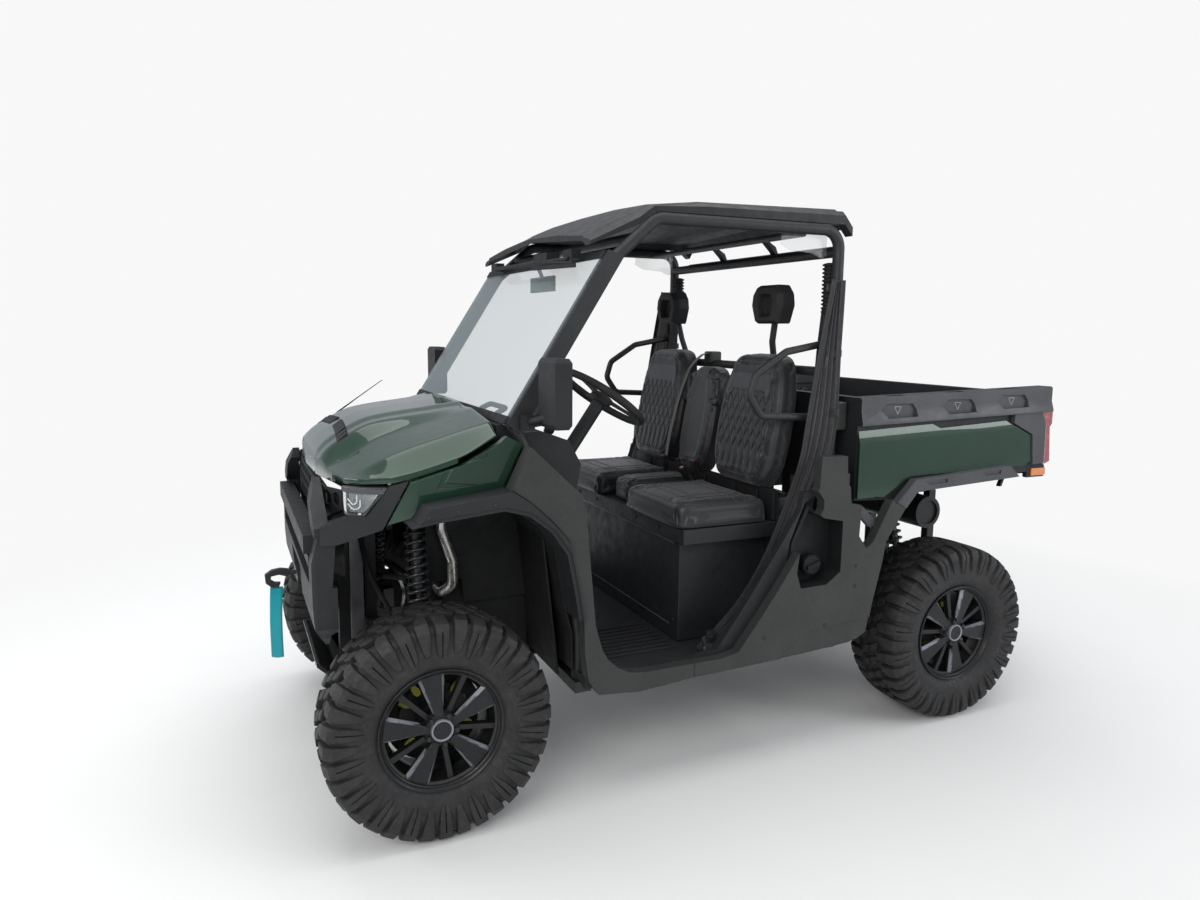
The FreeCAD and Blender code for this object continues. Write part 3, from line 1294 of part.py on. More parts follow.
nodes = {
    "chassis_frame": [chassis_frame()],
    "roll_cage": [roll_cage()],
    "roof_panel": [roof_panel()],
    "windshield": [windshield()],
    "fender_flares": both_sides(fender_flare()),
    "wheel_liners": both_sides(wheel_liner()),
    "front_posts": both_sides(front_post()),
    "side_cowls": both_sides(side_cowl()),
    "hood_lid": [hood_lid()],
    "front_bumper": [front_bumper()],
    "grille": [grille()],
    "headlights": both_sides(headlight()),
    "radiator": [radiator()],
    "coolant_pipe": [coolant_pipe()],
    "winch": [winch()],
    "winch_strap": [winch_strap()],
    "mirrors": both_sides(mirror_unit()),
    "floor_tub": [floor_tub()],
    "dashboard": [dashboard()],
    "steering_wheel": [steering_wheel()],
    "seat_base": [seat_base()],
    "seat_cushions": seat_cushions(),
    "seat_backs": seat_backs(),
    "headrests": headrests(),
    "seat_belts": seat_belts(),
    "side_nets": both_sides(side_net()),
    "rear_quarters": [rear_quarter(True), mirrored(rear_quarter(False))],
    "fuel_cap": [fuel_cap()],
    "power_unit": [power_unit()],
    "axle_drives": [axle_drive(front_axle_x, front_upright_y), axle_drive(rear_axle_x, rear_upright_y)],
    "muffler": [muffler()],
    "suspension_arms": arms,
    "shock_absorbers": both_sides(shock(front_axle_x, front_foot, front_shock_head))
    + both_sides(shock(rear_axle_x, rear_foot, rear_shock_head)),
    "knuckle_left": [upright(front_axle_x, front_upright_y)],
    "knuckle_right": [mirrored(upright(front_axle_x, front_upright_y))],
    "rear_uprights": both_sides(upright(rear_axle_x, rear_upright_y)),
    "rim_front_left": [left_front],
    "rim_front_right": [mirrored(left_front)],
    "rim_rear_left": [left_rear],
    "rim_rear_right": [mirrored(left_rear)],
    "tyre_front_left": [front_tyre],
    "tyre_front_right": [mirrored(front_tyre)],
    "tyre_rear_left": [rear_tyre],
    "tyre_rear_right": [mirrored(rear_tyre)],
    "bed_tub": [bed_tub()],
    "bed_panels": both_sides(bed_panel()),
    "bed_arch_strips": both_sides(bed_arch_strip()),
    "tail_lamps": both_sides(tail_lamp()),
    "tailgate": [tailgate()],
}

everything = Part.makeCompound([solid for solids in nodes.values() for solid in solids])
origin_shift = Vector(-everything.BoundBox.Center.x, 0, tyre_radius - axle_z)
print("moved along X by", round(origin_shift.x, 3), "and up by", origin_shift.z)

for node, shapes in nodes.items():
    solids = [solid for shape in shapes for solid in shape.Solids]
    if len(solids) != len(shapes) or not all(solid.isValid() for solid in solids):
        print("check", node, "pieces", len(shapes), "solids", len(solids))
    compound = Part.makeCompound(solids)
    compound.translate(origin_shift)
    compound.exportStep("parts/" + node + ".step")
print(len(nodes), "nodes")
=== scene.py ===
import json
import math

import bmesh
import bpy
import numpy
from mathutils import Matrix, Vector
from mathutils.bvhtree import BVHTree


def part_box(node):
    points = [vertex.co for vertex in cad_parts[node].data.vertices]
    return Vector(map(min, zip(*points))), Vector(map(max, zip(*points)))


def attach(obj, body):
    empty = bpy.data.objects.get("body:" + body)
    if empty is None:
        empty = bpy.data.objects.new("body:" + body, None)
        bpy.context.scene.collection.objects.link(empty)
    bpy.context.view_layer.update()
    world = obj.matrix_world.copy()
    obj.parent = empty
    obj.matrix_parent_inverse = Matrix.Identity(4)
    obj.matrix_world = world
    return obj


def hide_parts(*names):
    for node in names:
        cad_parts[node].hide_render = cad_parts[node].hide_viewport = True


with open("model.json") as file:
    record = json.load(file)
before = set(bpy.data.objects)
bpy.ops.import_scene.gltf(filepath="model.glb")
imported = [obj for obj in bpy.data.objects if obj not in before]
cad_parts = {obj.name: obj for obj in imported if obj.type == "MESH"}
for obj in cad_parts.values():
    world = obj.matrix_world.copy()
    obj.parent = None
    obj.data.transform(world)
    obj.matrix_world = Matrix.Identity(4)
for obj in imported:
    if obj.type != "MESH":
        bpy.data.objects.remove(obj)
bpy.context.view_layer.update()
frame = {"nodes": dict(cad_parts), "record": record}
nodes = frame["nodes"]

# Side by side utility vehicle. The frame is in metres, and sizes in tables are millimetres,
# laid out from the two axle lines on the ground. +X is forward, +Y the vehicle's left.
MM = 0.001


def box_centre(node):
    low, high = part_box(node)
    return (low + high) / 2


def box_size(node):
    low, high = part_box(node)
    return high - low


front_x = box_centre("tyre_front_left").x
rear_x = box_centre("tyre_rear_left").x
tyre_radius = box_size("tyre_front_left").z / 2
axle_height = 345.0


def fx(dx):
    """x of a point dx millimetres ahead of the front axle."""
    return front_x + dx * MM


def rx(dx):
    """x of a point dx millimetres ahead of the rear axle."""
    return rear_x + dx * MM


def hz(z):
    """z of a point whose height, in millimetres, is taken where the axles are at 345."""
    return tyre_radius + (z - axle_height) * MM


def at_front(outline):
    """Millimetre (dx, z) points of a side view, dx from the front axle, in the frame's metres."""
    return [(fx(dx), hz(z)) for dx, z in outline]


def at_rear(outline):
    return [(rx(dx), hz(z)) for dx, z in outline]


def front_points(rows):
    """Millimetre (dx, y, z) points, dx from the front axle, in the frame's metres."""
    return [(fx(dx), y * MM, hz(z)) for dx, y, z in rows]


def rear_points(rows):
    return [(rx(dx), y * MM, hz(z)) for dx, y, z in rows]


# Camera, solved from the wheels and from mirrored pairs of points in the photograph
camera_place = Vector((1.724, 3.288, 1.635))
camera_yaw = math.radians(-114.293)
camera_pitch = math.radians(-8.181)
camera_roll = math.radians(0.476)
focal_pixels = 846.0
photo_width = 1200.0
sensor_width = 36.0


def make_camera():
    level = math.cos(camera_pitch)
    forward = Vector((level * math.cos(camera_yaw), level * math.sin(camera_yaw), math.sin(camera_pitch)))
    right = forward.cross(Vector((0, 0, 1))).normalized()
    up = right.cross(forward)
    right_rolled = math.cos(camera_roll) * right + math.sin(camera_roll) * up
    up_rolled = math.cos(camera_roll) * up - math.sin(camera_roll) * right
    data = bpy.data.cameras.new("camera")
    data.sensor_width = sensor_width
    data.lens = focal_pixels / photo_width * sensor_width
    camera = bpy.data.objects.new("camera", data)
    bpy.context.scene.collection.objects.link(camera)
    axes = Matrix((right_rolled, up_rolled, -forward)).transposed()
    camera.matrix_world = Matrix.Translation(camera_place) @ axes.to_4x4()
    bpy.context.scene.camera = camera


make_camera()


# Node trees

def feed(tree, socket, value):
    """An input takes another node's output, or a value of its own."""
    if isinstance(value, bpy.types.NodeSocket):
        tree.links.new(value, socket)
    elif socket.type == "RGBA":
        socket.default_value = (*value, 1.0)
    else:
        socket.default_value = value


def new_node(tree, kind, inputs, **settings):
    node = tree.nodes.new(kind)
    for key, value in settings.items():
        setattr(node, key, value)
    for key, value in inputs.items():
        feed(tree, node.inputs[key], value)
    return node


def calculate(tree, operation, first, second):
    return new_node(tree, "ShaderNodeMath", {0: first, 1: second}, operation=operation).outputs["Value"]


# Materials

def tinted(colour, factor):
    return tuple(min(1.0, c * factor) for c in colour)


class Finish:
    """A node material in the making, patterned on its Object coordinates."""

    def __init__(self, name):
        self.material = bpy.data.materials.new(name)
        self.material.use_nodes = True
        self.tree = self.material.node_tree
        self.shader = self.tree.nodes["Principled BSDF"]
        self.coords = self.tree.nodes.new("ShaderNodeTexCoord").outputs["Object"]

    def set(self, **values):
        """Inputs of the shader, with _ for the spaces in their names."""
        for key, value in values.items():
            feed(self.tree, self.shader.inputs[key.replace("_", " ")], value)

    def noise(self, scale, detail=3.0):
        inputs = {"Vector": self.coords, "Scale": scale, "Detail": detail}
        return new_node(self.tree, "ShaderNodeTexNoise", inputs).outputs["Fac"]

    def cells(self, scale):
        inputs = {"Vector": self.coords, "Scale": scale}
        return new_node(self.tree, "ShaderNodeTexVoronoi", inputs, feature="F1").outputs["Distance"]

    def spread(self, value, low, high, from_low=0.3, from_high=0.7):
        """The value moved from one range to another, clamped."""
        inputs = {"Value": value, "From Min": from_low, "From Max": from_high, "To Min": low, "To Max": high}
        return new_node(self.tree, "ShaderNodeMapRange", inputs).outputs["Result"]

    def varied(self, scale, low, high):
        return self.spread(self.noise(scale), low, high)

    def mix(self, share, first, second):
        """first where share is 0, second where it is 1; either may be a colour or a socket."""
        node = new_node(self.tree, "ShaderNodeMix", {"Factor": share}, data_type="RGBA")
        sockets = {s.identifier: s for s in list(node.inputs) + list(node.outputs)}
        feed(self.tree, sockets["A_Color"], first)
        feed(self.tree, sockets["B_Color"], second)
        return sockets["Result_Color"]

    def patchy(self, scale, colour, low, high):
        """The colour drifting between two tints of itself."""
        return self.mix(self.varied(scale, 0.0, 1.0), tinted(colour, low), tinted(colour, high))

    def dusted(self, colour, dust, amount):
        """The colour with soft patches and with a thin settled dust."""
        base = self.patchy(7.0, colour, 0.86, 1.14)
        return self.mix(self.spread(self.noise(160.0, 6.0), 0.0, amount, 0.52, 0.72), base, dust)

    def bump(self, height, distance, strength=1.0):
        """Bump on top of any that the shader already has."""
        node = new_node(self.tree, "ShaderNodeBump",
                        {"Distance": distance, "Strength": strength, "Height": height})
        normal = self.shader.inputs["Normal"]
        if normal.links:
            self.tree.links.new(normal.links[0].from_socket, node.inputs["Normal"])
        self.tree.links.new(node.outputs["Normal"], normal)


def moulded_plastic(name, colour, roughness=0.52, grain=900.0, depth=0.00012, dust=0.25):
    """Injection-moulded plastic with a fine leathery grain."""
    made = Finish(name)
    made.set(Base_Color=made.dusted(colour, tinted(colour, 2.2), dust),
             Roughness=made.varied(26.0, roughness - 0.07, roughness + 0.09), Specular_IOR_Level=0.36)
    made.bump(made.cells(grain), depth)
    made.bump(made.noise(grain * 0.35), depth * 0.7)
    return made.material


def painted_panel(name, colour, flake):
    """Metallic paint under a clear coat, with small flakes and a faint orange peel."""
    made = Finish(name)
    flakes = made.spread(made.cells(1500.0), 1.0, 0.0, 0.1, 0.55)
    base = made.patchy(3.0, colour, 0.88, 1.12)
    made.set(Base_Color=made.mix(calculate(made.tree, "MULTIPLY", flakes, 0.35), base, flake), Metallic=0.35,
             Roughness=made.varied(40.0, 0.34, 0.44), Specular_IOR_Level=0.3, Coat_Weight=1.0,
             Coat_Roughness=0.035)
    made.bump(made.noise(320.0, 1.0), 0.00004)
    return made.material


def coated_steel(name, colour, roughness=0.42, metallic=0.25):
    made = Finish(name)
    made.set(Base_Color=made.dusted(colour, (0.050, 0.048, 0.044), 0.3), Metallic=metallic,
             Roughness=made.varied(60.0, roughness - 0.08, roughness + 0.12))
    made.bump(made.noise(700.0), 0.00015)
    return made.material


def cast_metal(name, colour, roughness=0.5):
    made = Finish(name)
    made.set(Base_Color=made.dusted(colour, (0.2, 0.17, 0.13), 0.35), Metallic=0.85,
             Roughness=made.varied(35.0, roughness - 0.12, roughness + 0.12))
    made.bump(made.noise(420.0, 6.0), 0.0003)
    return made.material


def tread_rubber(name):
    """Tyre rubber, with patches of dry earth over the tread."""
    made = Finish(name)
    base = made.mix(made.varied(14.0, 0.0, 1.0), (0.012, 0.012, 0.013), (0.022, 0.022, 0.023))
    earth = made.spread(made.noise(52.0, 8.0), 0.0, 0.40, 0.50, 0.72)
    made.set(Base_Color=made.mix(earth, base, (0.055, 0.046, 0.038)),
             Roughness=made.varied(90.0, 0.50, 0.74), Specular_IOR_Level=0.4)
    made.bump(made.noise(500.0, 5.0), 0.0003)
    return made.material


def pebbled_vinyl(name, colour):
    made = Finish(name)
    made.set(Base_Color=made.patchy(9.0, colour, 0.85, 1.2), Roughness=made.varied(55.0, 0.36, 0.50),
             Specular_IOR_Level=0.45, Sheen_Weight=0.15)
    made.bump(made.cells(620.0), 0.0002)
    made.bump(made.noise(60.0), 0.0008, 0.5)
    return made.material


def woven_cloth(name, colour, pitch, open_share):
    """Cloth woven on the piece's own UV map, in metres; open_share is how much of it is holes."""
    made = Finish(name)
    uv = made.tree.nodes.new("ShaderNodeUVMap").outputs["UV"]
    bands = [new_node(made.tree, "ShaderNodeTexWave", {"Scale": 1.0 / pitch / 3.18, "Vector": uv},
                      bands_direction=direction).outputs["Fac"] for direction in ("X", "Y")]
    weave = calculate(made.tree, "MAXIMUM", *bands)
    shade = made.spread(weave, 0.0, 1.0, 0.2, 0.9)
    made.set(Base_Color=made.mix(shade, tinted(colour, 0.6), tinted(colour, 1.3)),
             Roughness=made.varied(40.0, 0.75, 0.92), Sheen_Weight=0.3)
    if open_share > 0:
        made.set(Alpha=made.spread(weave, 1.0 - open_share, 1.0, 0.45, 0.6))
    made.bump(weave, 0.0004)
    return made.material


def clear_sheet(name, colour, least, most):
    """Clear glazing: its own colour shows little face on and more at a glancing angle."""
    made = Finish(name)
    facing = new_node(made.tree, "ShaderNodeLayerWeight", {"Blend": 0.35}).outputs["Facing"]
    made.set(Base_Color=made.patchy(5.0, colour, 0.95, 1.0), Roughness=made.varied(12.0, 0.03, 0.06),
             Specular_IOR_Level=0.9, Alpha=made.spread(facing, least, most, 0.1, 0.95))
    return made.material


def lamp_lens(name, colour, ribs):
    """Coloured lens with moulded ribs behind its face."""
    made = Finish(name)
    lines = new_node(made.tree, "ShaderNodeTexWave", {"Scale": ribs, "Vector": made.coords},
                     bands_direction="Z").outputs["Fac"]
    made.set(Base_Color=made.mix(lines, tinted(colour, 0.6), colour), Roughness=made.varied(30.0, 0.1, 0.18),
             Coat_Weight=1.0, Coat_Roughness=0.02)
    made.bump(lines, 0.0006)
    return made.material


black_plastic = moulded_plastic("black_moulding", (0.014, 0.015, 0.017))
deep_black = moulded_plastic("deep_black_moulding", (0.006, 0.0065, 0.0075), 0.62)
grey_plastic = moulded_plastic("grey_moulding", (0.030, 0.032, 0.031), 0.46)
trim_grey = moulded_plastic("trim_moulding", (0.060, 0.062, 0.068), 0.46)
pale_trim = moulded_plastic("pale_trim_moulding", (0.27, 0.27, 0.255), 0.42)
green_paint = painted_panel("green_metallic", (0.004, 0.030, 0.0145), (0.018, 0.085, 0.045))
frame_steel = coated_steel("frame_coating", (0.020, 0.020, 0.022))
cage_steel = coated_steel("cage_coating", (0.017, 0.0175, 0.019), 0.5, 0.1)
spring_steel = coated_steel("damper_coating", (0.022, 0.023, 0.025), 0.35, 0.4)
coil_steel = coated_steel("spring_coating", (0.060, 0.062, 0.066), 0.26, 0.5)
bright_steel = cast_metal("bright_steel", (0.55, 0.54, 0.52), 0.32)
engine_metal = cast_metal("cast_casing", (0.10, 0.10, 0.105))
radiator_metal = cast_metal("radiator_core", (0.22, 0.22, 0.23))
alloy_black = coated_steel("wheel_satin", (0.016, 0.0165, 0.018), 0.36, 0.5)
# pale finish of the blades' chamfers and the cap's ring: a painted highlight, the sky's reflection put into
# the colour
rim_painted_glint = coated_steel("wheel_painted_glint", (0.24, 0.25, 0.28), 0.34, 0.3)
brake_yellow = coated_steel("brake_paint", (0.42, 0.40, 0.05), 0.5, 0.0)
tyre_rubber = tread_rubber("tread_rubber")
soft_rubber = moulded_plastic("soft_rubber", (0.014, 0.014, 0.015), 0.66, 500.0, 0.0002)
vinyl = pebbled_vinyl("seat_vinyl", (0.012, 0.0125, 0.0145))
patch_vinyl = pebbled_vinyl("yoke_vinyl", (0.026, 0.028, 0.033))
thread = pebbled_vinyl("seat_thread", (0.085, 0.086, 0.09))
net_cloth = woven_cloth("side_netting", (0.030, 0.030, 0.034), 0.004, 0.35)
webbing_teal = woven_cloth("pull_webbing", (0.0, 0.30, 0.36), 0.0016, 0.0)
webbing_black = woven_cloth("belt_webbing", (0.018, 0.018, 0.02), 0.0016, 0.0)
screen_clear = clear_sheet("screen_clear", (0.30, 0.36, 0.38), 0.07, 0.45)
lens_clear = clear_sheet("lens_clear", (0.45, 0.49, 0.50), 0.08, 0.5)
gusset_clear = clear_sheet("gusset_clear", (0.30, 0.34, 0.34), 0.16, 0.5)
lens_red = lamp_lens("lens_red", (0.30, 0.008, 0.008), 60.0)
lens_amber = lamp_lens("lens_amber", (0.80, 0.22, 0.01), 60.0)
lamp_white = lamp_lens("lamp_white", (0.80, 0.84, 0.86), 90.0)
reflector = cast_metal("lamp_reflector", (0.30, 0.31, 0.32), 0.25)
mirror_face = cast_metal("mirror_silver", (0.75, 0.77, 0.78), 0.14)


# Making pieces

record = frame["record"]
body_of_node = {n: body for body, members in record["behaviour"]["bodies"].items() for n in members}
slot_of_node = {row["node"]: row["material_slot"] for row in record["subparts"]}
merge_reach = 0.00002


def mesh_from(name, points, faces, edges=()):
    mesh = bpy.data.meshes.new(name)
    mesh.from_pydata([tuple(p) for p in points], edges, faces)
    mesh.update()
    return mesh


def new_piece(name, mesh, material):
    piece = bpy.data.objects.new(name, mesh)
    bpy.context.scene.collection.objects.link(piece)
    mesh.materials.clear()
    mesh.materials.append(material)
    return piece


def outward(piece):
    """Doubles merged and every face turned outwards."""
    work = bmesh.new()
    work.from_mesh(piece.data)
    bmesh.ops.remove_doubles(work, verts=work.verts, dist=merge_reach)
    bmesh.ops.recalc_face_normals(work, faces=work.faces)
    work.to_mesh(piece.data)
    work.free()
    return piece


def settle(piece, kind=None, **settings):
    """The piece's modifiers, and the one named here, become its mesh."""
    if kind:
        modifier = piece.modifiers.new(kind.lower(), kind)
        for key, value in settings.items():
            setattr(modifier, key, value)
    depsgraph = bpy.context.evaluated_depsgraph_get()
    settled = bpy.data.meshes.new_from_object(piece.evaluated_get(depsgraph), depsgraph=depsgraph)
    piece.modifiers.clear()
    piece.data = settled
    return piece


def smooth(piece, sharp_angle=40.0):
    for face in piece.data.polygons:
        face.use_smooth = True
    piece.data.set_sharp_from_angle(angle=math.radians(sharp_angle))
    return piece


def soften(piece, width, segments=2, angle=28.0):
    """Rounded edges, with the flat faces kept flat to look at."""
    settle(piece, "BEVEL", width=width * MM, segments=segments, limit_method="ANGLE",
           angle_limit=math.radians(angle), miter_outer="MITER_ARC")
    smooth(piece, 60.0)
    return settle(piece, "WEIGHTED_NORMAL", keep_sharp=True)


def add(piece, body, slot, *stood_for):
    """The finished piece rides on its body and stands for the CAD nodes named."""
    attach(piece, body)
    if stood_for:
        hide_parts(*stood_for)
    return piece


def joined_mesh(name, parts, material):
    """Several (points, faces) parts as one piece."""
    points = []
    faces = []
    for part_points, part_faces in parts:
        start = len(points)
        points += part_points
        faces += [tuple(i + start for i in face) for face in part_faces]
    return new_piece(name, mesh_from(name, points, faces), material)


def fitted(name, parts, material, slot, *stood_for, body="chassis", edge=None, segments=2, angle=None):
    """A piece from its parts, its edges rounded by edge, or else only smooth up to the angle."""
    piece = outward(joined_mesh(name, parts, material))
    if edge is None:
        smooth(piece, angle or 40.0)
    else:
        soften(piece, edge, segments, angle or 28.0)
    return add(piece, body, slot, *stood_for)


def loft(sections, closed=True, capped=True):
    """(points, faces) of a skin through sections with the same count of points."""
    points = [Vector(p) for section in sections for p in section]
    count = len(sections[0])
    faces = []
    for i in range(len(sections) - 1):
        for j in range(count if closed else count - 1):
            k = (j + 1) % count
            faces.append((i * count + j, i * count + k, (i + 1) * count + k, (i + 1) * count + j))
    if closed and capped:
        faces.append(tuple(reversed(range(count))))
        end = (len(sections) - 1) * count
        faces.append(tuple(range(end, end + count)))
    return points, faces


def slab_y(outline, y_low, y_high):
    """A side-view outline of (x, z), filled from y_low to y_high, in metres."""
    return loft([[(x, y_low, z) for x, z in outline], [(x, y_high, z) for x, z in outline]])


def slab_x(outline, x_low, x_high):
    return loft([[(x_low, y, z) for y, z in outline], [(x_high, y, z) for y, z in outline]])


def crate(x_low, x_high, y_low, y_high, z_low, z_high):
    return slab_y([(x_low, z_low), (x_high, z_low), (x_high, z_high), (x_low, z_high)], y_low, y_high)


def front_crate(dx_low, dx_high, y_low, y_high, z_low, z_high):
    """A crate in millimetres, dx from the front axle."""
    return crate(fx(dx_low), fx(dx_high), y_low * MM, y_high * MM, hz(z_low), hz(z_high))


def rear_crate(dx_low, dx_high, y_low, y_high, z_low, z_high):
    return crate(rx(dx_low), rx(dx_high), y_low * MM, y_high * MM, hz(z_low), hz(z_high))


def turned(profile, centre=(0, 0, 0), axis=(0, 0, 1), steps=64):
    """(points, faces) of a closed profile of (along, radius) turned about an axis."""
    axis = Vector(axis).normalized()
    side = axis.orthogonal().normalized()
    other = axis.cross(side)
    sections = []
    for i in range(steps):
        angle = 2 * math.pi * i / steps
        out = math.cos(angle) * side + math.sin(angle) * other
        sections.append([Vector(centre) + axis * a + out * r for a, r in profile])
    sections.append(sections[0])
    return loft(sections, True, False)


def bar(start, end, radius, steps=20, chamfer=0.0015):
    """A round bar with small chamfers at its ends."""
    start = Vector(start)
    end = Vector(end)
    length = (end - start).length
    cut = min(chamfer, radius * 0.4)
    profile = [(0, 0.0001), (0, radius - cut), (cut, radius), (length - cut, radius), (length, radius - cut),
               (length, 0.0001)]
    return turned(profile, start, end - start, steps)


def corner_arc(before, corner, after, steps):
    """Points of a curve from before to after that the corner pulls on."""
    shares = [i / steps for i in range(steps + 1)]
    return [before * (1 - t) ** 2 + corner * 2 * t * (1 - t) + after * t * t for t in shares]


def rounded_path(route, bend, steps=6):
    """The route's points with each corner replaced by an arc of about that radius."""
    route = [Vector(p) for p in route]
    path = [route[0]]
    for before, corner, after in zip(route, route[1:], route[2:]):
        reach = min(bend, (corner - before).length * 0.48, (after - corner).length * 0.48)
        leave = corner + (before - corner).normalized() * reach
        meet = corner + (after - corner).normalized() * reach
        path += corner_arc(leave, corner, meet, steps)
    path.append(route[-1])
    return path


def tube(path, radius, steps=16, radii=None):
    """A round tube along a path; radii gives each point's own radius."""
    path = [Vector(p) for p in path]
    sections = []
    side = None
    for i, point in enumerate(path):
        along = (path[min(i + 1, len(path) - 1)] - path[max(i - 1, 0)]).normalized()
        if side is None:
            side = along.orthogonal().normalized()
        side = (side - along * side.dot(along)).normalized()
        other = along.cross(side)
        r = radii[i] if radii else radius
        turns = [2 * math.pi * j / steps for j in range(steps)]
        sections.append([point + (math.cos(turn) * side + math.sin(turn) * other) * r for turn in turns])
    return loft(sections)


def ribbon(path, across, width, thick=1.6):
    """Flat strap along a path; across is the direction of its width, one for each point or one for all."""
    path = [Vector(p) for p in path]
    sections = []
    for i, point in enumerate(path):
        along = (path[min(i + 1, len(path) - 1)] - path[max(i - 1, 0)]).normalized()
        side = Vector(across[i] if isinstance(across, list) else across)
        side = (side - along * side.dot(along)).normalized() * width * MM / 2
        out = along.cross(side).normalized() * thick * MM / 2
        sections.append([point - side - out, point + side - out, point + side + out, point - side + out])
    return loft(sections)


def mirrored(part):
    points, faces = part
    return [Vector((p[0], -p[1], p[2])) for p in points], [tuple(reversed(face)) for face in faces]


def both(*parts):
    """The parts and their twins on the vehicle's other side."""
    return [twin for part in parts for twin in (part, mirrored(part))]


def moved(part, offset):
    points, faces = part
    return [Vector(p) + Vector(offset) for p in points], faces


def spun(part, angle, centre=(0, 0, 0)):
    """The part turned about the Y direction through the centre."""
    points, faces = part
    turn = Matrix.Rotation(angle, 3, Vector((0, 1, 0)))
    return [turn @ (Vector(p) - Vector(centre)) + Vector(centre) for p in points], faces


def dressed(node, material, width=3.0, segments=2, angle=28.0):
    """A rigid node's own form with its edges rounded and its finish on."""
    work = bmesh.new()
    work.from_mesh(nodes[node].data)
    bmesh.ops.remove_doubles(work, verts=work.verts, dist=merge_reach)
    bmesh.ops.dissolve_limit(work, angle_limit=math.radians(0.5), verts=work.verts, edges=work.edges)
    work.verts.ensure_lookup_table()
    work.verts.index_update()
    mesh = mesh_from(node, [v.co for v in work.verts],
                     [[v.index for v in face.verts] for face in work.faces])
    work.free()
    piece = new_piece("outer_" + node, mesh, material)
    soften(piece, width, segments, angle)
    return add(piece, body_of_node[node], slot_of_node[node], node)


def zoned(piece, material, chosen):
    """A second finish on the faces whose centre is chosen."""
    piece.data.materials.append(material)
    index = len(piece.data.materials) - 1
    for face in piece.data.polygons:
        if chosen(face.center):
            face.material_index = index
    return piece


def skin_of(piece):
    """A piece's faces, for rays to find where small things sit on it."""
    mesh = piece.data
    return BVHTree.FromPolygons([v.co for v in mesh.vertices], [tuple(p.vertices) for p in mesh.polygons])


# Repeats, made by Geometry Nodes

def start_tree(name, inputs):
    tree = bpy.data.node_groups.new(name, "GeometryNodeTree")
    tree.interface.new_socket("Geometry", in_out="INPUT", socket_type="NodeSocketGeometry")
    for label, kind in inputs + [("Material", "Material")]:
        tree.interface.new_socket(label, in_out="INPUT", socket_type="NodeSocket" + kind)
    tree.interface.new_socket("Geometry", in_out="OUTPUT", socket_type="NodeSocketGeometry")
    return tree, tree.nodes.new("NodeGroupInput").outputs


def end_tree(tree, given, points, part, rotation):
    """Copies of the part on the points, realized, their material set, and out."""
    copies = new_node(tree, "GeometryNodeInstanceOnPoints",
                      {"Points": points, "Instance": part, "Rotation": rotation})
    plain = new_node(tree, "GeometryNodeRealizeInstances", {"Geometry": copies.outputs["Instances"]})
    finish = new_node(tree, "GeometryNodeSetMaterial", {
        "Geometry": plain.outputs["Geometry"], "Material": given["Material"]})
    new_node(tree, "NodeGroupOutput", {"Geometry": finish.outputs["Geometry"]})
    return tree


def ring_tree():
    """Copies of the piece turned evenly about the Y axis through the origin, then carried to a place."""
    tree, given = start_tree("ring_of_copies",
                             [("Copies", "Int"), ("Start angle", "Float"), ("Place", "Vector")])
    points = new_node(tree, "GeometryNodePoints", {"Count": given["Copies"], "Position": given["Place"]})
    index = tree.nodes.new("GeometryNodeInputIndex").outputs["Index"]
    step = calculate(tree, "DIVIDE", 2 * math.pi, given["Copies"])
    angle = calculate(tree, "ADD", calculate(tree, "MULTIPLY", index, step), given["Start angle"])
    turn = new_node(tree, "ShaderNodeCombineXYZ", {"Y": angle}).outputs["Vector"]
    return end_tree(tree, given, points.outputs["Points"], given["Geometry"], turn)


def seats_tree():
    """Copies of a small part on a mesh's points, each turned as the point's own facing says."""
    tree, given = start_tree("parts_on_points", [("Part", "Object")])
    part = new_node(tree, "GeometryNodeObjectInfo", {"Object": given["Part"]}).outputs["Geometry"]
    facing = new_node(tree, "GeometryNodeInputNamedAttribute", {"Name": "facing"}, data_type="FLOAT_VECTOR")
    align = new_node(tree, "FunctionNodeAlignEulerToVector", {"Vector": facing.outputs["Attribute"]},
                     axis="Z")
    return end_tree(tree, given, given["Geometry"], part, align.outputs["Rotation"])


def stitches_tree():
    """Short threads laid end to end along each edge line of the piece."""
    tree, given = start_tree("stitches_on_lines", [("Part", "Object"), ("Pitch", "Float")])
    part = new_node(tree, "GeometryNodeObjectInfo", {"Object": given["Part"]}).outputs["Geometry"]
    line = new_node(tree, "GeometryNodeMeshToCurve", {"Mesh": given["Geometry"]}).outputs["Curve"]
    points = new_node(tree, "GeometryNodeCurveToPoints", {"Curve": line, "Length": given["Pitch"]},
                      mode="LENGTH")
    align = new_node(tree, "FunctionNodeAlignEulerToVector", {"Vector": points.outputs["Tangent"]}, axis="X")
    return end_tree(tree, given, points.outputs["Points"], part, align.outputs["Rotation"])


copies_about_axle = ring_tree()
parts_on_points = seats_tree()
stitches_on_lines = stitches_tree()


def run_tree(piece, tree, **values):
    """The tree run on the piece; its inputs are found by their names and set by their identifiers."""
    modifier = piece.modifiers.new(tree.name, "NODES")
    modifier.node_group = tree
    keys = {item.name: item.identifier for item in tree.interface.items_tree
            if item.item_type == "SOCKET" and item.in_out == "INPUT"}
    for name, value in values.items():
        modifier[keys[name.replace("_", " ")]] = value
    return settle(piece)


def stock_part(name, part):
    """A small part kept out of the render, for repeats to copy."""
    piece = smooth(outward(new_piece(name, mesh_from(name, *part), frame_steel)), 35.0)
    piece.hide_render = True
    return piece


def place_on_points(name, part, spots, material):
    """Copies of a stock part at (place, facing) spots, as one piece."""
    mesh = mesh_from(name, [place for place, facing in spots], [])
    facing = mesh.attributes.new("facing", "FLOAT_VECTOR", "POINT")
    for i, spot in enumerate(spots):
        facing.data[i].vector = Vector(spot[1]).normalized()
    return run_tree(new_piece(name, mesh, material), parts_on_points, Part=part, Material=material)


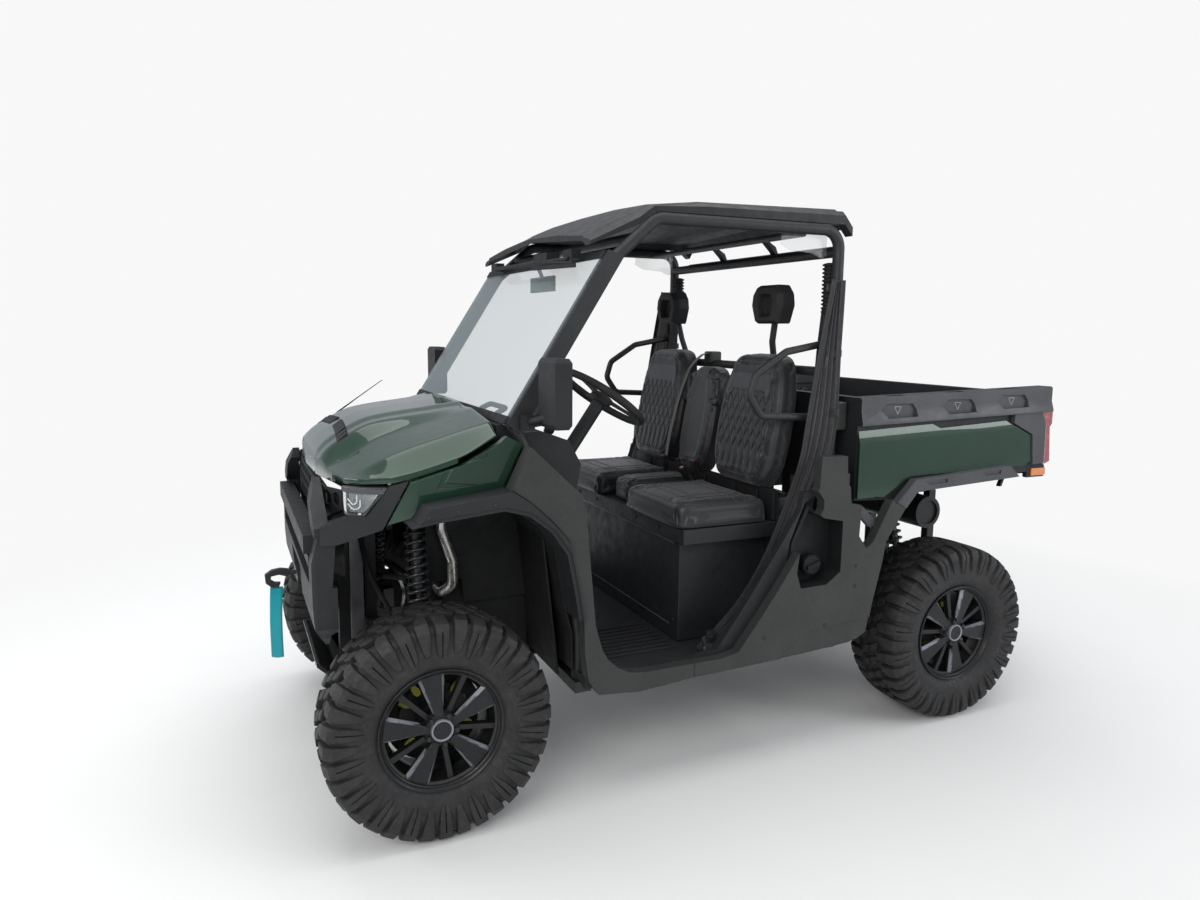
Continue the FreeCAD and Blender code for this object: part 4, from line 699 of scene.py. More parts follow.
def stitch_along(name, part, lines, pitch, material):
    """Threads along each line of points."""
    points = []
    edges = []
    for line in lines:
        start = len(points)
        points += line
        edges += [(start + i, start + i + 1) for i in range(len(line) - 1)]
    piece = new_piece(name, mesh_from(name, points, [], edges), material)
    return run_tree(piece, stitches_on_lines, Part=part, Pitch=pitch, Material=material)


# Tyres

lug_pitches = 18
lug_draft = 0.004
lug_root = 0.004
tyre_wall = 0.012

# carcass outline from the crown to the bead: share of the half width, radius less the tyre's
carcass_rows = [
    (0.00, -18), (0.30, -18), (0.55, -19), (0.74, -21), (0.86, -27), (0.915, -38), (0.94, -54),
    (0.955, -72), (0.965, -90), (0.96, -110), (0.945, -130), (0.90, -146), (0.85, -157), (0.815, -164),
    (0.79, -173), (0.72, -182),
]

# lugs of one pitch on the +Y side: angle as a share of the pitch, and their stations outwards from the
# crown: distance along the carcass, height, half width at the top, skew along the tread
long_finger = [(118, 17, 9, 11), (134, 15, 9, 11), (150, 12, 8.5, 10.5), (168, 9, 7.5, 9.5), (188, 7, 6, 8),
               (208, 2, 4, 5.5)]
lug_rows = [
    (0.00, [(40, 18, 13, 9), (58, 18, 19, 5), (84, 18, 21, 1), (106, 18, 22, 0), (122, 16, 21, 0)]),
    (0.00, long_finger),
    (0.00, [(distance, height, half, -skew) for distance, height, half, skew in long_finger]),
    (0.50, [(58, 18, 14, -8), (76, 18, 19, -3), (98, 18, 21, 0), (118, 17, 20, 0), (134, 13, 18, 0),
            (150, 10, 15, 0), (168, 8, 12, 0), (184, 6, 9, 0), (196, 1, 7, 0)]),
    (0.22, [(3, 18, 15, 17), (19, 18, 18, 8), (40, 18, 14, -4)]),
    (0.74, [(6, 18, 12, 18), (24, 18, 16, 9), (46, 18, 14, -6)]),
]


def smooth_rows(rows, steps=3):
    """Points on a Catmull-Rom curve through the rows."""
    rows = [Vector(row) for row in rows]
    ends = [rows[0]] + rows + [rows[-1]]
    points = []
    for a, b, c, d in zip(ends, ends[1:], ends[2:], ends[3:]):
        for j in range(steps):
            t = j / steps
            points.append(0.5 * (2 * b + (c - a) * t + (2 * a - 5 * b + 4 * c - d) * t * t
                                 + (3 * b - a - 3 * c + d) * t ** 3))
    return points + [rows[-1]]


def on_line(line, distance):
    """The point that far along the line, and the outward normal there."""
    left = distance
    for first, second in zip(line, line[1:]):
        step = second - first
        if left <= step.length:
            break
        left -= step.length
    point = first + step.normalized() * min(left, step.length)
    normal = Vector((-step.y, step.x)).normalized()
    return point, normal if normal.y >= 0 or normal.x > 0 else -normal


def lug(line, side, angle, stations):
    """One tread lug, lofted along the carcass; the origin is on the axle."""
    sections = []
    for distance, height, half_width, skew in stations:
        point, normal = on_line(line, distance * MM)
        ring = []
        for place, half, signs in ((point - normal * lug_root, half_width * MM + lug_draft, (-1, 1)),
                                   (point + normal * (height * MM), half_width * MM, (1, -1))):
            for sign in signs:
                turn = angle + (side * skew * MM + sign * half) / place.y
                ring.append((place.y * math.sin(turn), side * place.x, place.y * math.cos(turn)))
        sections.append(ring)
    return loft(sections)


def tyre(node):
    """Carcass turned about the axle, with its lugs repeated round it."""
    centre = box_centre(node)
    half = box_size(node).y / 2
    line = smooth_rows([(share * half, tyre_radius + drop * MM) for share, drop in carcass_rows])
    outer = [(p.x, p.y) for p in reversed(line)] + [(-p.x, p.y) for p in line[1:]]
    inner = [(y * (1 - tyre_wall / half), r - tyre_wall) for y, r in reversed(outer)]
    body = body_of_node[node]
    carcass = turned(outer + inner, centre, (0, 1, 0), 132)
    fitted("carcass_" + node, [carcass], tyre_rubber, "tyre_rubber", node, body=body, angle=50.0)
    pitch = 2 * math.pi / lug_pitches
    lugs = [lug(line, side, (start + side * share) * pitch, stations)
            for side, start in ((-1, 0.25), (1, 0.0)) for share, stations in lug_rows]
    sector = soften(outward(joined_mesh("lugs_" + node, lugs, tyre_rubber)), 1.6, 1, 35.0)
    run_tree(sector, copies_about_axle, Copies=lug_pitches, Start_angle=0.0, Place=tuple(centre),
             Material=tyre_rubber)
    add(sector, body, "tyre_rubber")


# Wheels

blade_count = 5
brake_spots = [22, 50, 94, 125, 166, 202, 240, 310, 338]
front_blade_turn = math.radians(9.5)
rear_blade_turn = math.radians(-24.8)
rim_face_depth = 0.012
lip_radius = 0.204
# how far out of the wheel the brake's parts stand, by axle: the disc's y, less the rim's centre
front_disc_y = 0.656
rear_disc_y = 0.611

# profiles of (along, radius), along from the blades' face
hub_profile = [(-0.05, 0.02), (-0.05, 0.058), (-0.02, 0.060), (-0.006, 0.052), (-0.004, 0.041),
               (-0.004, 0.02)]
cap_profile = [(-0.01, 0.0002), (-0.01, 0.036), (0.004, 0.035), (0.003, 0.028), (0.003, 0.0002)]
ring_profile = [(0.0035, 0.029), (0.0065, 0.031), (0.0065, 0.035), (0.003, 0.0365), (-0.004, 0.0365),
                (-0.004, 0.029)]
nut_profile = [(-0.012, 0.0002), (-0.012, 0.0105), (0.004, 0.0095), (0.008, 0.006), (0.008, 0.0002)]
# profiles of (along, radius), along from the brake disc
disc_profile = [(0, 0.06), (0, 0.112), (0.005, 0.112), (0.005, 0.06)]
# dark disc filling the back of the wheel: painted shade for the dim space inside it
shade_disc_profile = [(-0.009, 0.030), (-0.009, 0.157), (-0.002, 0.159), (-0.007, 0.155), (-0.007, 0.030)]


def turned_out(profile, start, steps):
    """A profile turned about the wheel's axle, its stations counted from start."""
    return turned([(start + along, radius) for along, radius in profile], (0, 0, 0), (0, 1, 0), steps)


def blade(face_y):
    """Wide wedge blade about the Z direction, with a hollow along its middle."""
    edge = 3.5
    sections = []
    # radius, half width of the face, half width at the back, face set back from the rim's face
    for radius, face, back, drop in ((44, 9, 15, 1), (90, 15, 24, 3), (140, 23, 34, 5), (184, 30, 44, 7)):
        y = face_y - drop * MM
        half = [(back, 0.028), (back, 0.012), (face + edge, 0.001), (face, 0.0)]
        ring = [(x, y - low) for x, low in half] + [(0, y - 0.0015)]
        ring += [(-x, y - low) for x, low in reversed(half)]
        sections.append([(x * MM, level, radius * MM) for x, level in ring])
    return loft(sections)


def bright_edges(face_y):
    """The chamfers along a blade's two sides; their pale finish is a painted reflection of the sky."""
    parts = []
    for sign in (-1, 1):
        sections = []
        for radius, face, back, drop in ((50, 9, 15, 1), (90, 15, 24, 3), (140, 23, 34, 5),
                                         (180, 29.5, 43.2, 7)):
            y = face_y - drop * MM
            inner = sign * (face + 3.0) * MM
            outer = sign * (back + 0.4) * MM
            ring = [(inner, y - 0.0007), (outer, y - 0.0115), (outer, y - 0.014), (inner, y - 0.004)]
            sections.append([(x, level, radius * MM) for x, level in ring])
        parts.append(loft(sections))
    return parts


def slim_spoke(face_y):
    """Set-back spoke half way between two blades."""
    y = face_y - 0.018
    sections = [[(-back * MM, y - 0.02, z * MM), (back * MM, y - 0.02, z * MM), (top * MM, y, z * MM),
                 (-top * MM, y, z * MM)] for z, top, back in ((44, 9, 12), (100, 8, 11), (184, 10, 14))]
    return spun(loft(sections), math.pi / blade_count)


def brake_lump(disc_y):
    """One painted block of the brake, seen between the blades."""
    sections = []
    for z, half, out in ((92, 7, 0.008), (104, 12, 0.006), (126, 11, 0.006), (132, 6, 0.008)):
        y = disc_y + out
        sections.append([(-half * MM, y, z * MM), (half * MM, y, z * MM), (half * MM, y + 0.014, z * MM),
                         (-half * MM, y + 0.014, z * MM)])
    return loft(sections)


def rim(node, turn):
    centre = box_centre(node)
    half = box_size(node).y / 2
    body = body_of_node[node]
    face = half - rim_face_depth
    lip = lip_radius
    barrel = turned_out([
        (half, lip - 0.004), (half - 0.002, lip), (half - 0.009, lip), (half - 0.011, 0.1905),
        (half - 0.06, 0.1905), (half - 0.08, 0.170), (-half + 0.05, 0.170), (-half + 0.03, 0.1905),
        (-half + 0.011, 0.1905), (-half + 0.009, lip), (-half, lip - 0.003), (-half, 0.186),
        (-half + 0.03, 0.178), (half - 0.075, 0.163), (half - 0.05, 0.181), (half - 0.016, 0.186),
        (half - 0.012, 0.191), (half - 0.006, 0.193)], 0, 96)
    neck = turned_out([(-0.005, 0.024), (-0.005, 0.040), (face - 0.04, 0.044), (face - 0.04, 0.024)], 0, 48)
    blade_turns = [turn + 2 * math.pi * i / blade_count for i in range(blade_count)]
    wheel = [barrel, turned_out(hub_profile, face, 60), turned_out(cap_profile, face, 60), neck]
    for angle in blade_turns:
        wheel += [spun(blade(face), angle), spun(slim_spoke(face), angle)]
    bright = [spun(part, angle) for angle in blade_turns for part in bright_edges(face)]
    bright.append(turned_out(ring_profile, face, 60))
    disc_y = (front_disc_y if centre.x > 0 else rear_disc_y) - abs(centre.y)
    nut = moved(turned_out(nut_profile, face, 6), (0, 0, 0.0485))
    nuts = [spun(nut, angle + math.pi / blade_count) for angle in blade_turns]
    nuts.append(turned_out(disc_profile, disc_y, 72))
    lumps = [spun(brake_lump(disc_y), turn + math.radians(spot)) for spot in brake_spots]

    def in_place(parts):
        return [moved(part if centre.y > 0 else mirrored(part), centre) for part in parts]

    fitted("wheel_" + node, in_place(wheel), alloy_black, "alloy_black", node, body=body, edge=1.4,
           angle=32.0)
    # chamfers and cap ring in the pale finish, a painted reflection of the sky
    fitted("edges_" + node, in_place(bright), rim_painted_glint, "alloy_black", body=body, angle=30.0)
    # deep black disc behind the brake, painted shade where the inside of the wheel is dim
    shade_disc = turned_out(shade_disc_profile, disc_y, 60)
    fitted("shield_" + node, in_place([shade_disc]), deep_black, "alloy_black", body=body, edge=1.5)
    fitted("brake_" + node, in_place(lumps), brake_yellow, "alloy_black", body=body, edge=1.5)
    fitted("nuts_" + node, in_place(nuts), spring_steel, "alloy_black", body=body, angle=30.0)


for corner in ("front_left", "front_right", "rear_left", "rear_right"):
    tyre("tyre_" + corner)
    rim("rim_" + corner, front_blade_turn if corner.startswith("front") else rear_blade_turn)

# Seats

seat_deck_z = 862
seat_top_z = 962
back_lean = math.radians(10)
stitch_pitch = 0.009
thread_part = stock_part("thread", tube([(-0.0026, 0, 0), (0, 0, 0.0006), (0.0026, 0, 0)], 0.0006, 4))


class PadPlane:
    """A pad's own directions: u and v lie along it and h points out of it, in millimetres."""

    def __init__(self, origin, u_axis, v_axis):
        self.origin = Vector(origin)
        self.u = Vector(u_axis)
        self.v = Vector(v_axis)
        self.h = self.u.cross(self.v)

    def place(self, u, v, h):
        return self.origin + (self.u * u + self.v * v + self.h * h) * MM

    def flat(self, mesh):
        """u, v, h and how far each of the mesh's points faces outwards, as arrays."""
        points = numpy.empty(len(mesh.vertices) * 3)
        mesh.vertices.foreach_get("co", points)
        normals = numpy.array([tuple(n.vector) for n in mesh.vertex_normals])
        places = (points.reshape(-1, 3) - numpy.array(self.origin)) / MM
        return (places @ numpy.array(self.u), places @ numpy.array(self.v), places @ numpy.array(self.h),
                normals @ numpy.array(self.h))


def soft_outline(corners, steps=7):
    """Closed outline through rows of (u, v, reach), each corner rounded by that reach."""
    points = []
    count = len(corners)
    for i in range(count):
        corner = Vector(corners[i][:2])
        before = (Vector(corners[i - 1][:2]) - corner).normalized()
        after = (Vector(corners[(i + 1) % count][:2]) - corner).normalized()
        reach = corners[i][2]
        points += corner_arc(corner + before * reach, corner, corner + after * reach, steps)
    return points


def inset(outline, distance):
    """The anticlockwise outline moved inwards."""
    count = len(outline)
    points = []
    for i, point in enumerate(outline):
        along = (outline[(i + 1) % count] - outline[i - 1]).normalized()
        points.append(point + Vector((-along.y, along.x)) * distance)
    return points


def pad_form(plane, outline, low, high, edge):
    """The outline from low to high, its outer edge rounded by edge."""
    rows = [(7, low), (0, low + 7)]
    for i in range(5):
        angle = i * math.pi / 8
        rows.append((edge * (1 - math.cos(angle)), high - edge + edge * math.sin(angle)))
    return loft([[plane.place(p.x, p.y, h) for p in inset(outline, amount)] for amount, h in rows])


stuffing_push = 4.0
stuffing_frames = 20


def stuffed(piece, plane, voxel, cap, held_below):
    """The piece remeshed evenly and blown up a little as cloth, its back held."""
    settle(piece, "REMESH", mode="VOXEL", voxel_size=voxel * MM)
    starts = [v.co.copy() for v in piece.data.vertices]
    heights = plane.flat(piece.data)[2]
    held = piece.vertex_groups.new(name="held")
    held.add([i for i, h in enumerate(heights) if h < held_below], 1.0, "ADD")
    cloth = piece.modifiers.new("stuffing", "CLOTH")
    cloth.settings.quality = 4
    cloth.settings.use_pressure = True
    cloth.settings.uniform_pressure_force = stuffing_push
    cloth.settings.effector_weights.gravity = 0.0
    cloth.settings.vertex_group_mass = "held"
    cloth.point_cache.frame_start = 1
    cloth.point_cache.frame_end = stuffing_frames
    for step in range(1, stuffing_frames + 1):
        bpy.context.scene.frame_set(step)
    settle(piece)
    bpy.context.scene.frame_set(1)
    for vertex, start in zip(piece.data.vertices, starts):
        reach = vertex.co - start
        if reach.length > cap * MM:
            vertex.co = start + reach.normalized() * cap * MM
    return settle(piece, "SUBSURF", levels=1, render_levels=1)


def line_distance(u, v, line, closed=True):
    """How far each (u, v) lies from a line of points."""
    best = numpy.full(len(u), 1e9)
    ends = line[1:] + line[:1] if closed else line[1:]
    for start, end in zip(line, ends):
        run = end - start
        size = max(run.length_squared, 1e-9)
        share = numpy.clip(((u - start.x) * run.x + (v - start.y) * run.y) / size, 0, 1)
        best = numpy.minimum(best, numpy.hypot(u - start.x - share * run.x, v - start.y - share * run.y))
    return best


def inside(u, v, outline):
    """True for each (u, v) within the closed outline."""
    result = numpy.zeros(len(u), bool)
    for start, end in zip(outline, outline[1:] + outline[:1]):
        if start.y == end.y:
            continue
        crosses = (start.y > v) != (end.y > v)
        result ^= crosses & (u < (end.x - start.x) * (v - start.y) / (end.y - start.y) + start.x)
    return result


def pressed(piece, plane, shift):
    """Each point moved out of the pad by its share of shift, in millimetres, where it faces outwards."""
    facing = plane.flat(piece.data)[3]
    amount = shift * numpy.clip((facing - 0.15) / 0.5, 0, 1) * MM
    for vertex, move in zip(piece.data.vertices, amount):
        vertex.co += plane.h * float(move)
    piece.data.update()
    return piece


def thinned(piece, share):
    return smooth(settle(piece, "DECIMATE", ratio=share), 60.0)


class PadSurface:
    """The pad's skin, for laying seams and patches on it."""

    def __init__(self, piece, plane):
        self.plane = plane
        self.tree = skin_of(piece)

    def at(self, u, v, lift):
        start = self.plane.place(u, v, 400)
        place = self.tree.ray_cast(start, -self.plane.h)[0]
        return None if place is None else place + self.plane.h * lift * MM


def seam_lines(surface, outline, lift, closed=True):
    """The outline laid on the pad, broken where it leaves the pad."""
    lines = []
    line = []
    for point in outline + (outline[:1] if closed else []):
        place = surface.at(point.x, point.y, lift)
        if place is None:
            lines.append(line)
            line = []
        else:
            line.append(place)
    lines.append(line)
    return [line for line in lines if len(line) > 1]


def dense(line, step=12.0):
    """The line with points no further apart than step."""
    points = [line[0]]
    for start, end in zip(line, line[1:]):
        count = max(1, math.ceil((end - start).length / step))
        points += [start.lerp(end, (i + 1) / count) for i in range(count)]
    return points


def far_copy(piece, name):
    """The piece mirrored to the vehicle's other side."""
    mesh = piece.data.copy()
    mesh.transform(Matrix.Diagonal((1, -1, 1, 1)))
    mesh.flip_normals()
    copy = bpy.data.objects.new(name, mesh)
    bpy.context.scene.collection.objects.link(copy)
    return copy


def cushion(name, y_low, y_high, front_dx, thread_name):
    """Bench cushion with a double-stitched edge and two seamed rings on its top."""
    plane = PadPlane((rx(850), 0, hz(seat_deck_z)), (1, 0, 0), (0, 1, 0))
    front = front_dx - 850
    outer = soft_outline([(6, y_low + 6, 26), (front - 12, y_low + 10, 46),
                          (front - 4, (y_low + y_high) / 2, 60),
                          (front - 12, y_high - 10, 60), (6, y_high - 6, 30)])
    top = seat_top_z - seat_deck_z - 9
    piece = new_piece(name, mesh_from(name, *pad_form(plane, outer, 3, top, 22)), vinyl)
    stuffed(outward(piece), plane, 6.5, 9, 14)
    u, v = plane.flat(piece.data)[:2]
    shift = numpy.zeros(len(u))
    edge_seam = inset(outer, 26)
    ring_seams = [inset(outer, 84), inset(outer, 128)] if y_high - y_low > 300 else [inset(outer, 70)]
    for line in [edge_seam] + ring_seams:
        shift -= 3.4 * numpy.exp(-(line_distance(u, v, line) / 4.0) ** 2)
    middle = line_distance(u, v, outer)
    shift += 5.0 * numpy.clip((middle - 30) / 120, 0, 1)
    pressed(piece, plane, shift)
    thinned(piece, 0.4)
    surface = PadSurface(piece, plane)
    lines = []
    for line, spread_by in [(edge_seam, 4.5)] + [(ring, 4.0) for ring in ring_seams]:
        for sign in (-1, 1):
            lines += seam_lines(surface, dense(inset(line, sign * spread_by)), 0.2)
    stitches = stitch_along(thread_name, thread_part, lines, stitch_pitch, thread)
    return piece, stitches


def panel_of_back(half, height):
    """Shield-shaped outline of a seat back, from its foot."""
    k = half / 230
    return soft_outline([
        (150 * k, 8, 40), (212 * k, 90, 60), (226 * k, 260, 90), (200 * k, height - 110, 70),
        (150 * k, height - 8, 56), (-150 * k, height - 8, 56), (-200 * k, height - 110, 70),
        (-226 * k, 260, 90),
        (-212 * k, 90, 60), (-150 * k, 8, 40),
    ])


quilt_width = 46.0
quilt_height = 92.0


def quilt_phase(v):
    """How far the diamonds' two families of lines have leaned at height v; low down they run upright."""
    return numpy.where(v > 150, (v - 150) / quilt_height, 0.18 * (v - 150) / quilt_height)


def seat_back(name, y_centre, half, height, quilted):
    """Seat back: side bolsters, a seamed panel and, on the outer seats, a yoke and quilting."""
    up = Vector((-math.sin(back_lean), 0, math.cos(back_lean)))
    plane = PadPlane((rx(838), y_centre * MM, hz(seat_top_z + 8)), (0, 1, 0), up)
    outer = panel_of_back(half, height)
    piece = new_piece(name, mesh_from(name, *pad_form(plane, outer, -46, 40, 34)), vinyl)
    stuffed(outward(piece), plane, 6.5, 9 if quilted else 4, -38)
    u, v = plane.flat(piece.data)[:2]
    panel = inset(outer, 46)
    shift = -4.0 * numpy.exp(-(line_distance(u, v, panel) / 4.5) ** 2)
    side_seam = inset(outer, 14)
    shift -= 3.0 * numpy.exp(-(line_distance(u, v, side_seam) / 4.0) ** 2)
    shift -= 6.0 * numpy.clip(line_distance(u, v, panel) / 30, 0, 1) * inside(u, v, panel)
    yoke_low = height - 168
    if quilted:
        quilt = inside(u, v, inset(panel, 6)) & (v < yoke_low)
        lean = quilt_phase(v)
        slope = math.cos(math.atan2(quilt_width, quilt_height))
        for sign in (-1, 1):
            phase = u / quilt_width + sign * lean
            away = numpy.abs(phase - numpy.round(phase)) * quilt_width * slope
            shift += quilt * (1.5 - 4.6 * numpy.exp(-(away / 4.5) ** 2))
    pressed(piece, plane, shift)
    thinned(piece, 0.42)
    surface = PadSurface(piece, plane)
    lines = []
    for line in (inset(panel, -4.5), inset(panel, 4.5), inset(side_seam, 4)):
        lines += seam_lines(surface, dense(line), 0.2)
    if quilted:
        inner = inset(panel, 6)
        for sign in (-1, 1):
            for k in range(-8, 9):
                rows = numpy.arange(14.0, yoke_low, 7.0)
                spots = (k - sign * quilt_phase(rows)) * quilt_width
                kept = inside(spots, rows, inner)
                run = [Vector((a, b)) for a, b, ok in zip(spots, rows, kept) if ok]
                if len(run) > 3:
                    lines += seam_lines(surface, run, -0.3, False)
    stitches = stitch_along("stitches_" + name, thread_part, lines, stitch_pitch, thread)
    return piece, stitches, surface


def yoke(surface, height, name):
    """Smooth patch across the top of the panel, its lower edge cut like a bracket."""
    top = height - 92
    low = height - 168
    # u, lower edge
    rows = [(-150, low - 2), (-142, low - 26), (-128, low - 30), (-108, low), (0, low + 3), (108, low),
            (128, low - 30), (142, low - 26), (150, low - 2)]
    across, lower_edge = zip(*rows)
    columns = numpy.linspace(-150, 150, 49)
    sections = []
    for j in range(9):
        share = j / 8
        row = []
        for u in columns:
            edge = float(numpy.interp(u, across, lower_edge))
            squeeze = 1.0 - 0.1 * share
            row.append(surface.at(u * squeeze, edge + (top - edge) * share, 1.0))
        sections.append(row)
    piece = smooth(new_piece(name, mesh_from(name, *loft(sections, False)), patch_vinyl), 60.0)
    return settle(piece, "SOLIDIFY", thickness=0.0018, offset=-1.0)


def seats():
    near, near_stitches = cushion("cushion_left", 118, 612, 1265, "stitches_cushion_left")
    middle, middle_stitches = cushion("cushion_middle", -112, 112, 1205, "stitches_cushion_middle")
    far = far_copy(near, "cushion_right")
    add(near, "chassis", "seat_vinyl", "seat_cushions")
    add(middle, "chassis", "seat_vinyl")
    add(far, "chassis", "seat_vinyl")
    for stitches in (near_stitches, middle_stitches, far_copy(near_stitches, "stitches_cushion_right")):
        add(stitches, "chassis", "seat_vinyl")
    back, back_stitches, surface = seat_back("back_left", 380, 230, 560, True)
    patch = yoke(surface, 560, "yoke_left")
    centre, centre_stitches = seat_back("back_middle", 0, 138, 490, False)[:2]
    other = far_copy(back, "back_right")
    add(back, "chassis", "seat_vinyl", "seat_backs")
    for piece in (centre, other, back_stitches, centre_stitches, patch,
                  far_copy(back_stitches, "stitches_back_right"), far_copy(patch, "yoke_right")):
        add(piece, "chassis", "seat_vinyl")


seats()


def headrest(side):
    """Eight-sided block with a six-sided hollow in its face."""
    # share across, z
    outline = [(100, 1705), (72, 1632), (-72, 1632), (-100, 1705), (-92, 1752), (-62, 1786), (62, 1786),
               (92, 1752)]
    hollow = [(52, 1706), (36, 1664), (-36, 1664), (-52, 1706), (-48, 1728), (-36, 1748), (36, 1748),
              (48, 1728)]
    centre_z = 1709

    def ring(rows, dx, share):
        return [(rx(dx), (side * 414 + y * share) * MM, hz(centre_z + (z - centre_z) * share))
                for y, z in rows]

    block = loft([
        ring(outline, 692, 0.9), ring(outline, 698, 0.99), ring(outline, 752, 1.0), ring(outline, 775, 0.86),
        ring(hollow, 777, 1.12), ring(hollow, 770, 1.0), ring(hollow, 742, 0.86),
    ])
    name = "headrest_left" if side > 0 else "headrest_right"
    return soften(outward(joined_mesh(name, [block], soft_rubber)), 4.0, 3, 14.0)


for side, stood_for in ((1, ("headrests",)), (-1, ())):
    pad = headrest(side)
    add(pad, "chassis", "rubber_grip", *stood_for)


# Nets, straps and belts

def cloth_sheet(name, rows, material, thick):
    """Cloth from rows of points, its UV map in metres; returns it with its flat width and length."""
    mesh = mesh_from(name, *loft(rows, False))
    middle = len(rows[0]) // 2
    length = sum((b[middle] - a[middle]).length for a, b in zip(rows, rows[1:]))
    width = sum(face.area for face in mesh.polygons) / length
    columns = len(rows[0]) - 1
    uv = mesh.uv_layers.new(name="cloth")
    for loop in mesh.loops:
        row, column = divmod(loop.vertex_index, columns + 1)
        uv.data[loop.index].uv = (column / columns * width, row / (len(rows) - 1) * length)
    piece = smooth(new_piece(name, mesh, material), 70.0)
    return settle(piece, "SOLIDIFY", thickness=thick * MM, offset=0.0), width, length


# side net: front edge dx from the rear axle and z, rear edge dx and z, how far it stands out
net_rows = [
    (645, 1797, 600, 1797, 668), (690, 1560, 602, 1560, 667), (742, 1260, 602, 1243, 669),
    (772, 1100, 640, 1085, 670), (836, 925, 705, 945, 672), (925, 735, 790, 742, 672),
    (1022, 585, 884, 597, 671), (1126, 484, 1000, 486, 670), (1196, 424, 1104, 424, 670),
]
net_pleats = 4.5
net_columns = 40
tape_width = 24


def side_net(side):
    """Mesh gathered along the pillar and drawn down to the sill, taped at both edges."""
    stations = smooth_rows([row[:4] for row in net_rows], 9)
    outs = smooth_rows([(row[4], 0) for row in net_rows], 9)
    rows = []
    for i, (station, out) in enumerate(zip(stations, outs)):
        t = i / (len(stations) - 1)
        depth = 5.5 + 1.5 * math.sin(7 * t)
        row = []
        for j in range(net_columns + 1):
            share = j / net_columns
            wave = math.sin(2 * math.pi * net_pleats * share + 1.2 * math.sin(5 * t)) * depth
            fold = 1.6 * math.sin(23 * t + 6 * share)
            dx = station[0] + (station[2] - station[0]) * share
            z = station[1] + (station[3] - station[1]) * share
            row.append(Vector((rx(dx), side * (out.x + wave + fold) * MM, hz(z))))
        rows.append(row)
    end = "left" if side > 0 else "right"
    net, width, length = cloth_sheet("net_" + end, rows, net_cloth, 0.9)
    edges = []
    stitches = []
    for column, step in ((1, 2), (net_columns - 1, -2)):
        line = [row[column] + Vector((0, side * 0.006, 0)) for row in rows]
        inward = [Vector((1, 0, 1)) * (row[column + step] - row[column]) for row in rows]
        edges.append(ribbon(line, inward, tape_width, 2.0))
        for shift in (-8, 8):
            stitches.append([p + n.normalized() * shift * MM + Vector((0, side * 0.0012, 0))
                             for p, n in zip(line, inward)])
    for z, reach in ((1770, 31), (1520, 33), (1290, 35)):
        edges.append(turned([(-0.013, reach * MM), (0.013, reach * MM), (0.013, (reach + 2) * MM),
                             (-0.013, (reach + 2) * MM)], (rx(606), side * 0.64, hz(z)), (0, 0, 1), 28))
    edges.append(ribbon([(rx(1178), side * 0.684, hz(470)), (rx(1170), side * 0.688, hz(445)),
                         (rx(1150), side * 0.700, hz(425))], (1, 0, 0.3), 26, 3))
    tape = smooth(outward(joined_mesh("net_tape_" + end, edges, webbing_black)), 40.0)
    threads = stitch_along("net_stitches_" + end, thread_part, stitches, stitch_pitch, thread)
    clip = [rear_crate(1140, 1176, 676, 694, 448, 490),
            bar(*rear_points([(1146, 697, 470), (1170, 697, 470)]), 0.004, 10)]
    add(net, "chassis", "net_fabric", *(["side_nets"] if side > 0 else []))
    add(tape, "chassis", "net_fabric")
    add(threads, "chassis", "net_fabric")
    if side < 0:
        clip = [mirrored(part) for part in clip]
    fitted("net_buckle_" + end, clip, deep_black, "black_plastic", edge=3.0)


strap_top_z = 640
strap_low_z = 366
strap_width = 0.046
strap_columns = 6
strap_rows = 29


def winch_strap():
    """Blank pull strap, hung from the hook's eye and turned a little as it falls."""
    rows = []
    for i in range(strap_rows):
        t = i / (strap_rows - 1)
        turn = math.radians(-8 - 14 * min(1.0, t * 3.2))
        centre = Vector((fx(430 + 10 * t + 3 * math.sin(4 * t)), 0.004 * math.sin(5 * t),
                         hz(strap_top_z + (strap_low_z - strap_top_z) * t)))
        direction = Vector((math.cos(turn), math.sin(turn), 0))
        row = []
        for j in range(strap_columns + 1):
            share = j / strap_columns - 0.5
            sag = Vector((0, 0, -0.004 * math.cos(math.pi * share) * t))
            row.append(centre + direction * share * strap_width + sag)
        rows.append(row)
    strap, width, length = cloth_sheet("pull_strap", rows, webbing_teal, 2.2)
    stitches = []
    for share in (0.1, 0.9):
        for out in (-0.0014, 0.0014):
            stitches.append([row[0].lerp(row[-1], share)
                             + (row[-1] - row[0]).cross(Vector((0, 0, 1))).normalized() * out
                             for row in rows])
    threads = stitch_along("strap_stitches", thread_part, stitches, 0.008, thread)
    add(strap, "chassis", "strap_webbing", "winch_strap")
    add(threads, "chassis", "strap_webbing")


boot_ribs = 13
boot_rib_pitch = 0.0150


def bellows(side):
    """Ribbed boot of a belt guide on the rear pillar."""
    profile = [(0.0, 0.010)]
    for i in range(boot_ribs):
        low = i * boot_rib_pitch
        profile += [(low + 0.001, 0.020), (low + 0.004, 0.027), (low + 0.009, 0.027), (low + 0.012, 0.020)]
    profile.append((boot_ribs * boot_rib_pitch, 0.010))
    return turned(profile, (rx(600), side * 0.592, hz(1672)), (0, 0, 1), 28)


def buckle(y, dx, z, lean):
    """Belt buckle on its stalk, and its push button."""
    shell = loft([
        [(rx(dx + 12 + a), (y + b) * MM, hz(z + c)) for a, b in ((-s, -w), (s, -w), (s, w), (-s, w))]
        for c, s, w in ((-62, 4, 11), (-34, 4, 12), (-26, 9, 14), (16, 11, 17), (26, 9, 16))])
    button = crate(rx(dx + 5), rx(dx + 19), (y - 12) * MM, (y + 12) * MM, hz(z + 22), hz(z + 29))
    centre = (rx(dx), y * MM, hz(z))
    return spun(shell, lean, centre), spun(button, lean, centre)


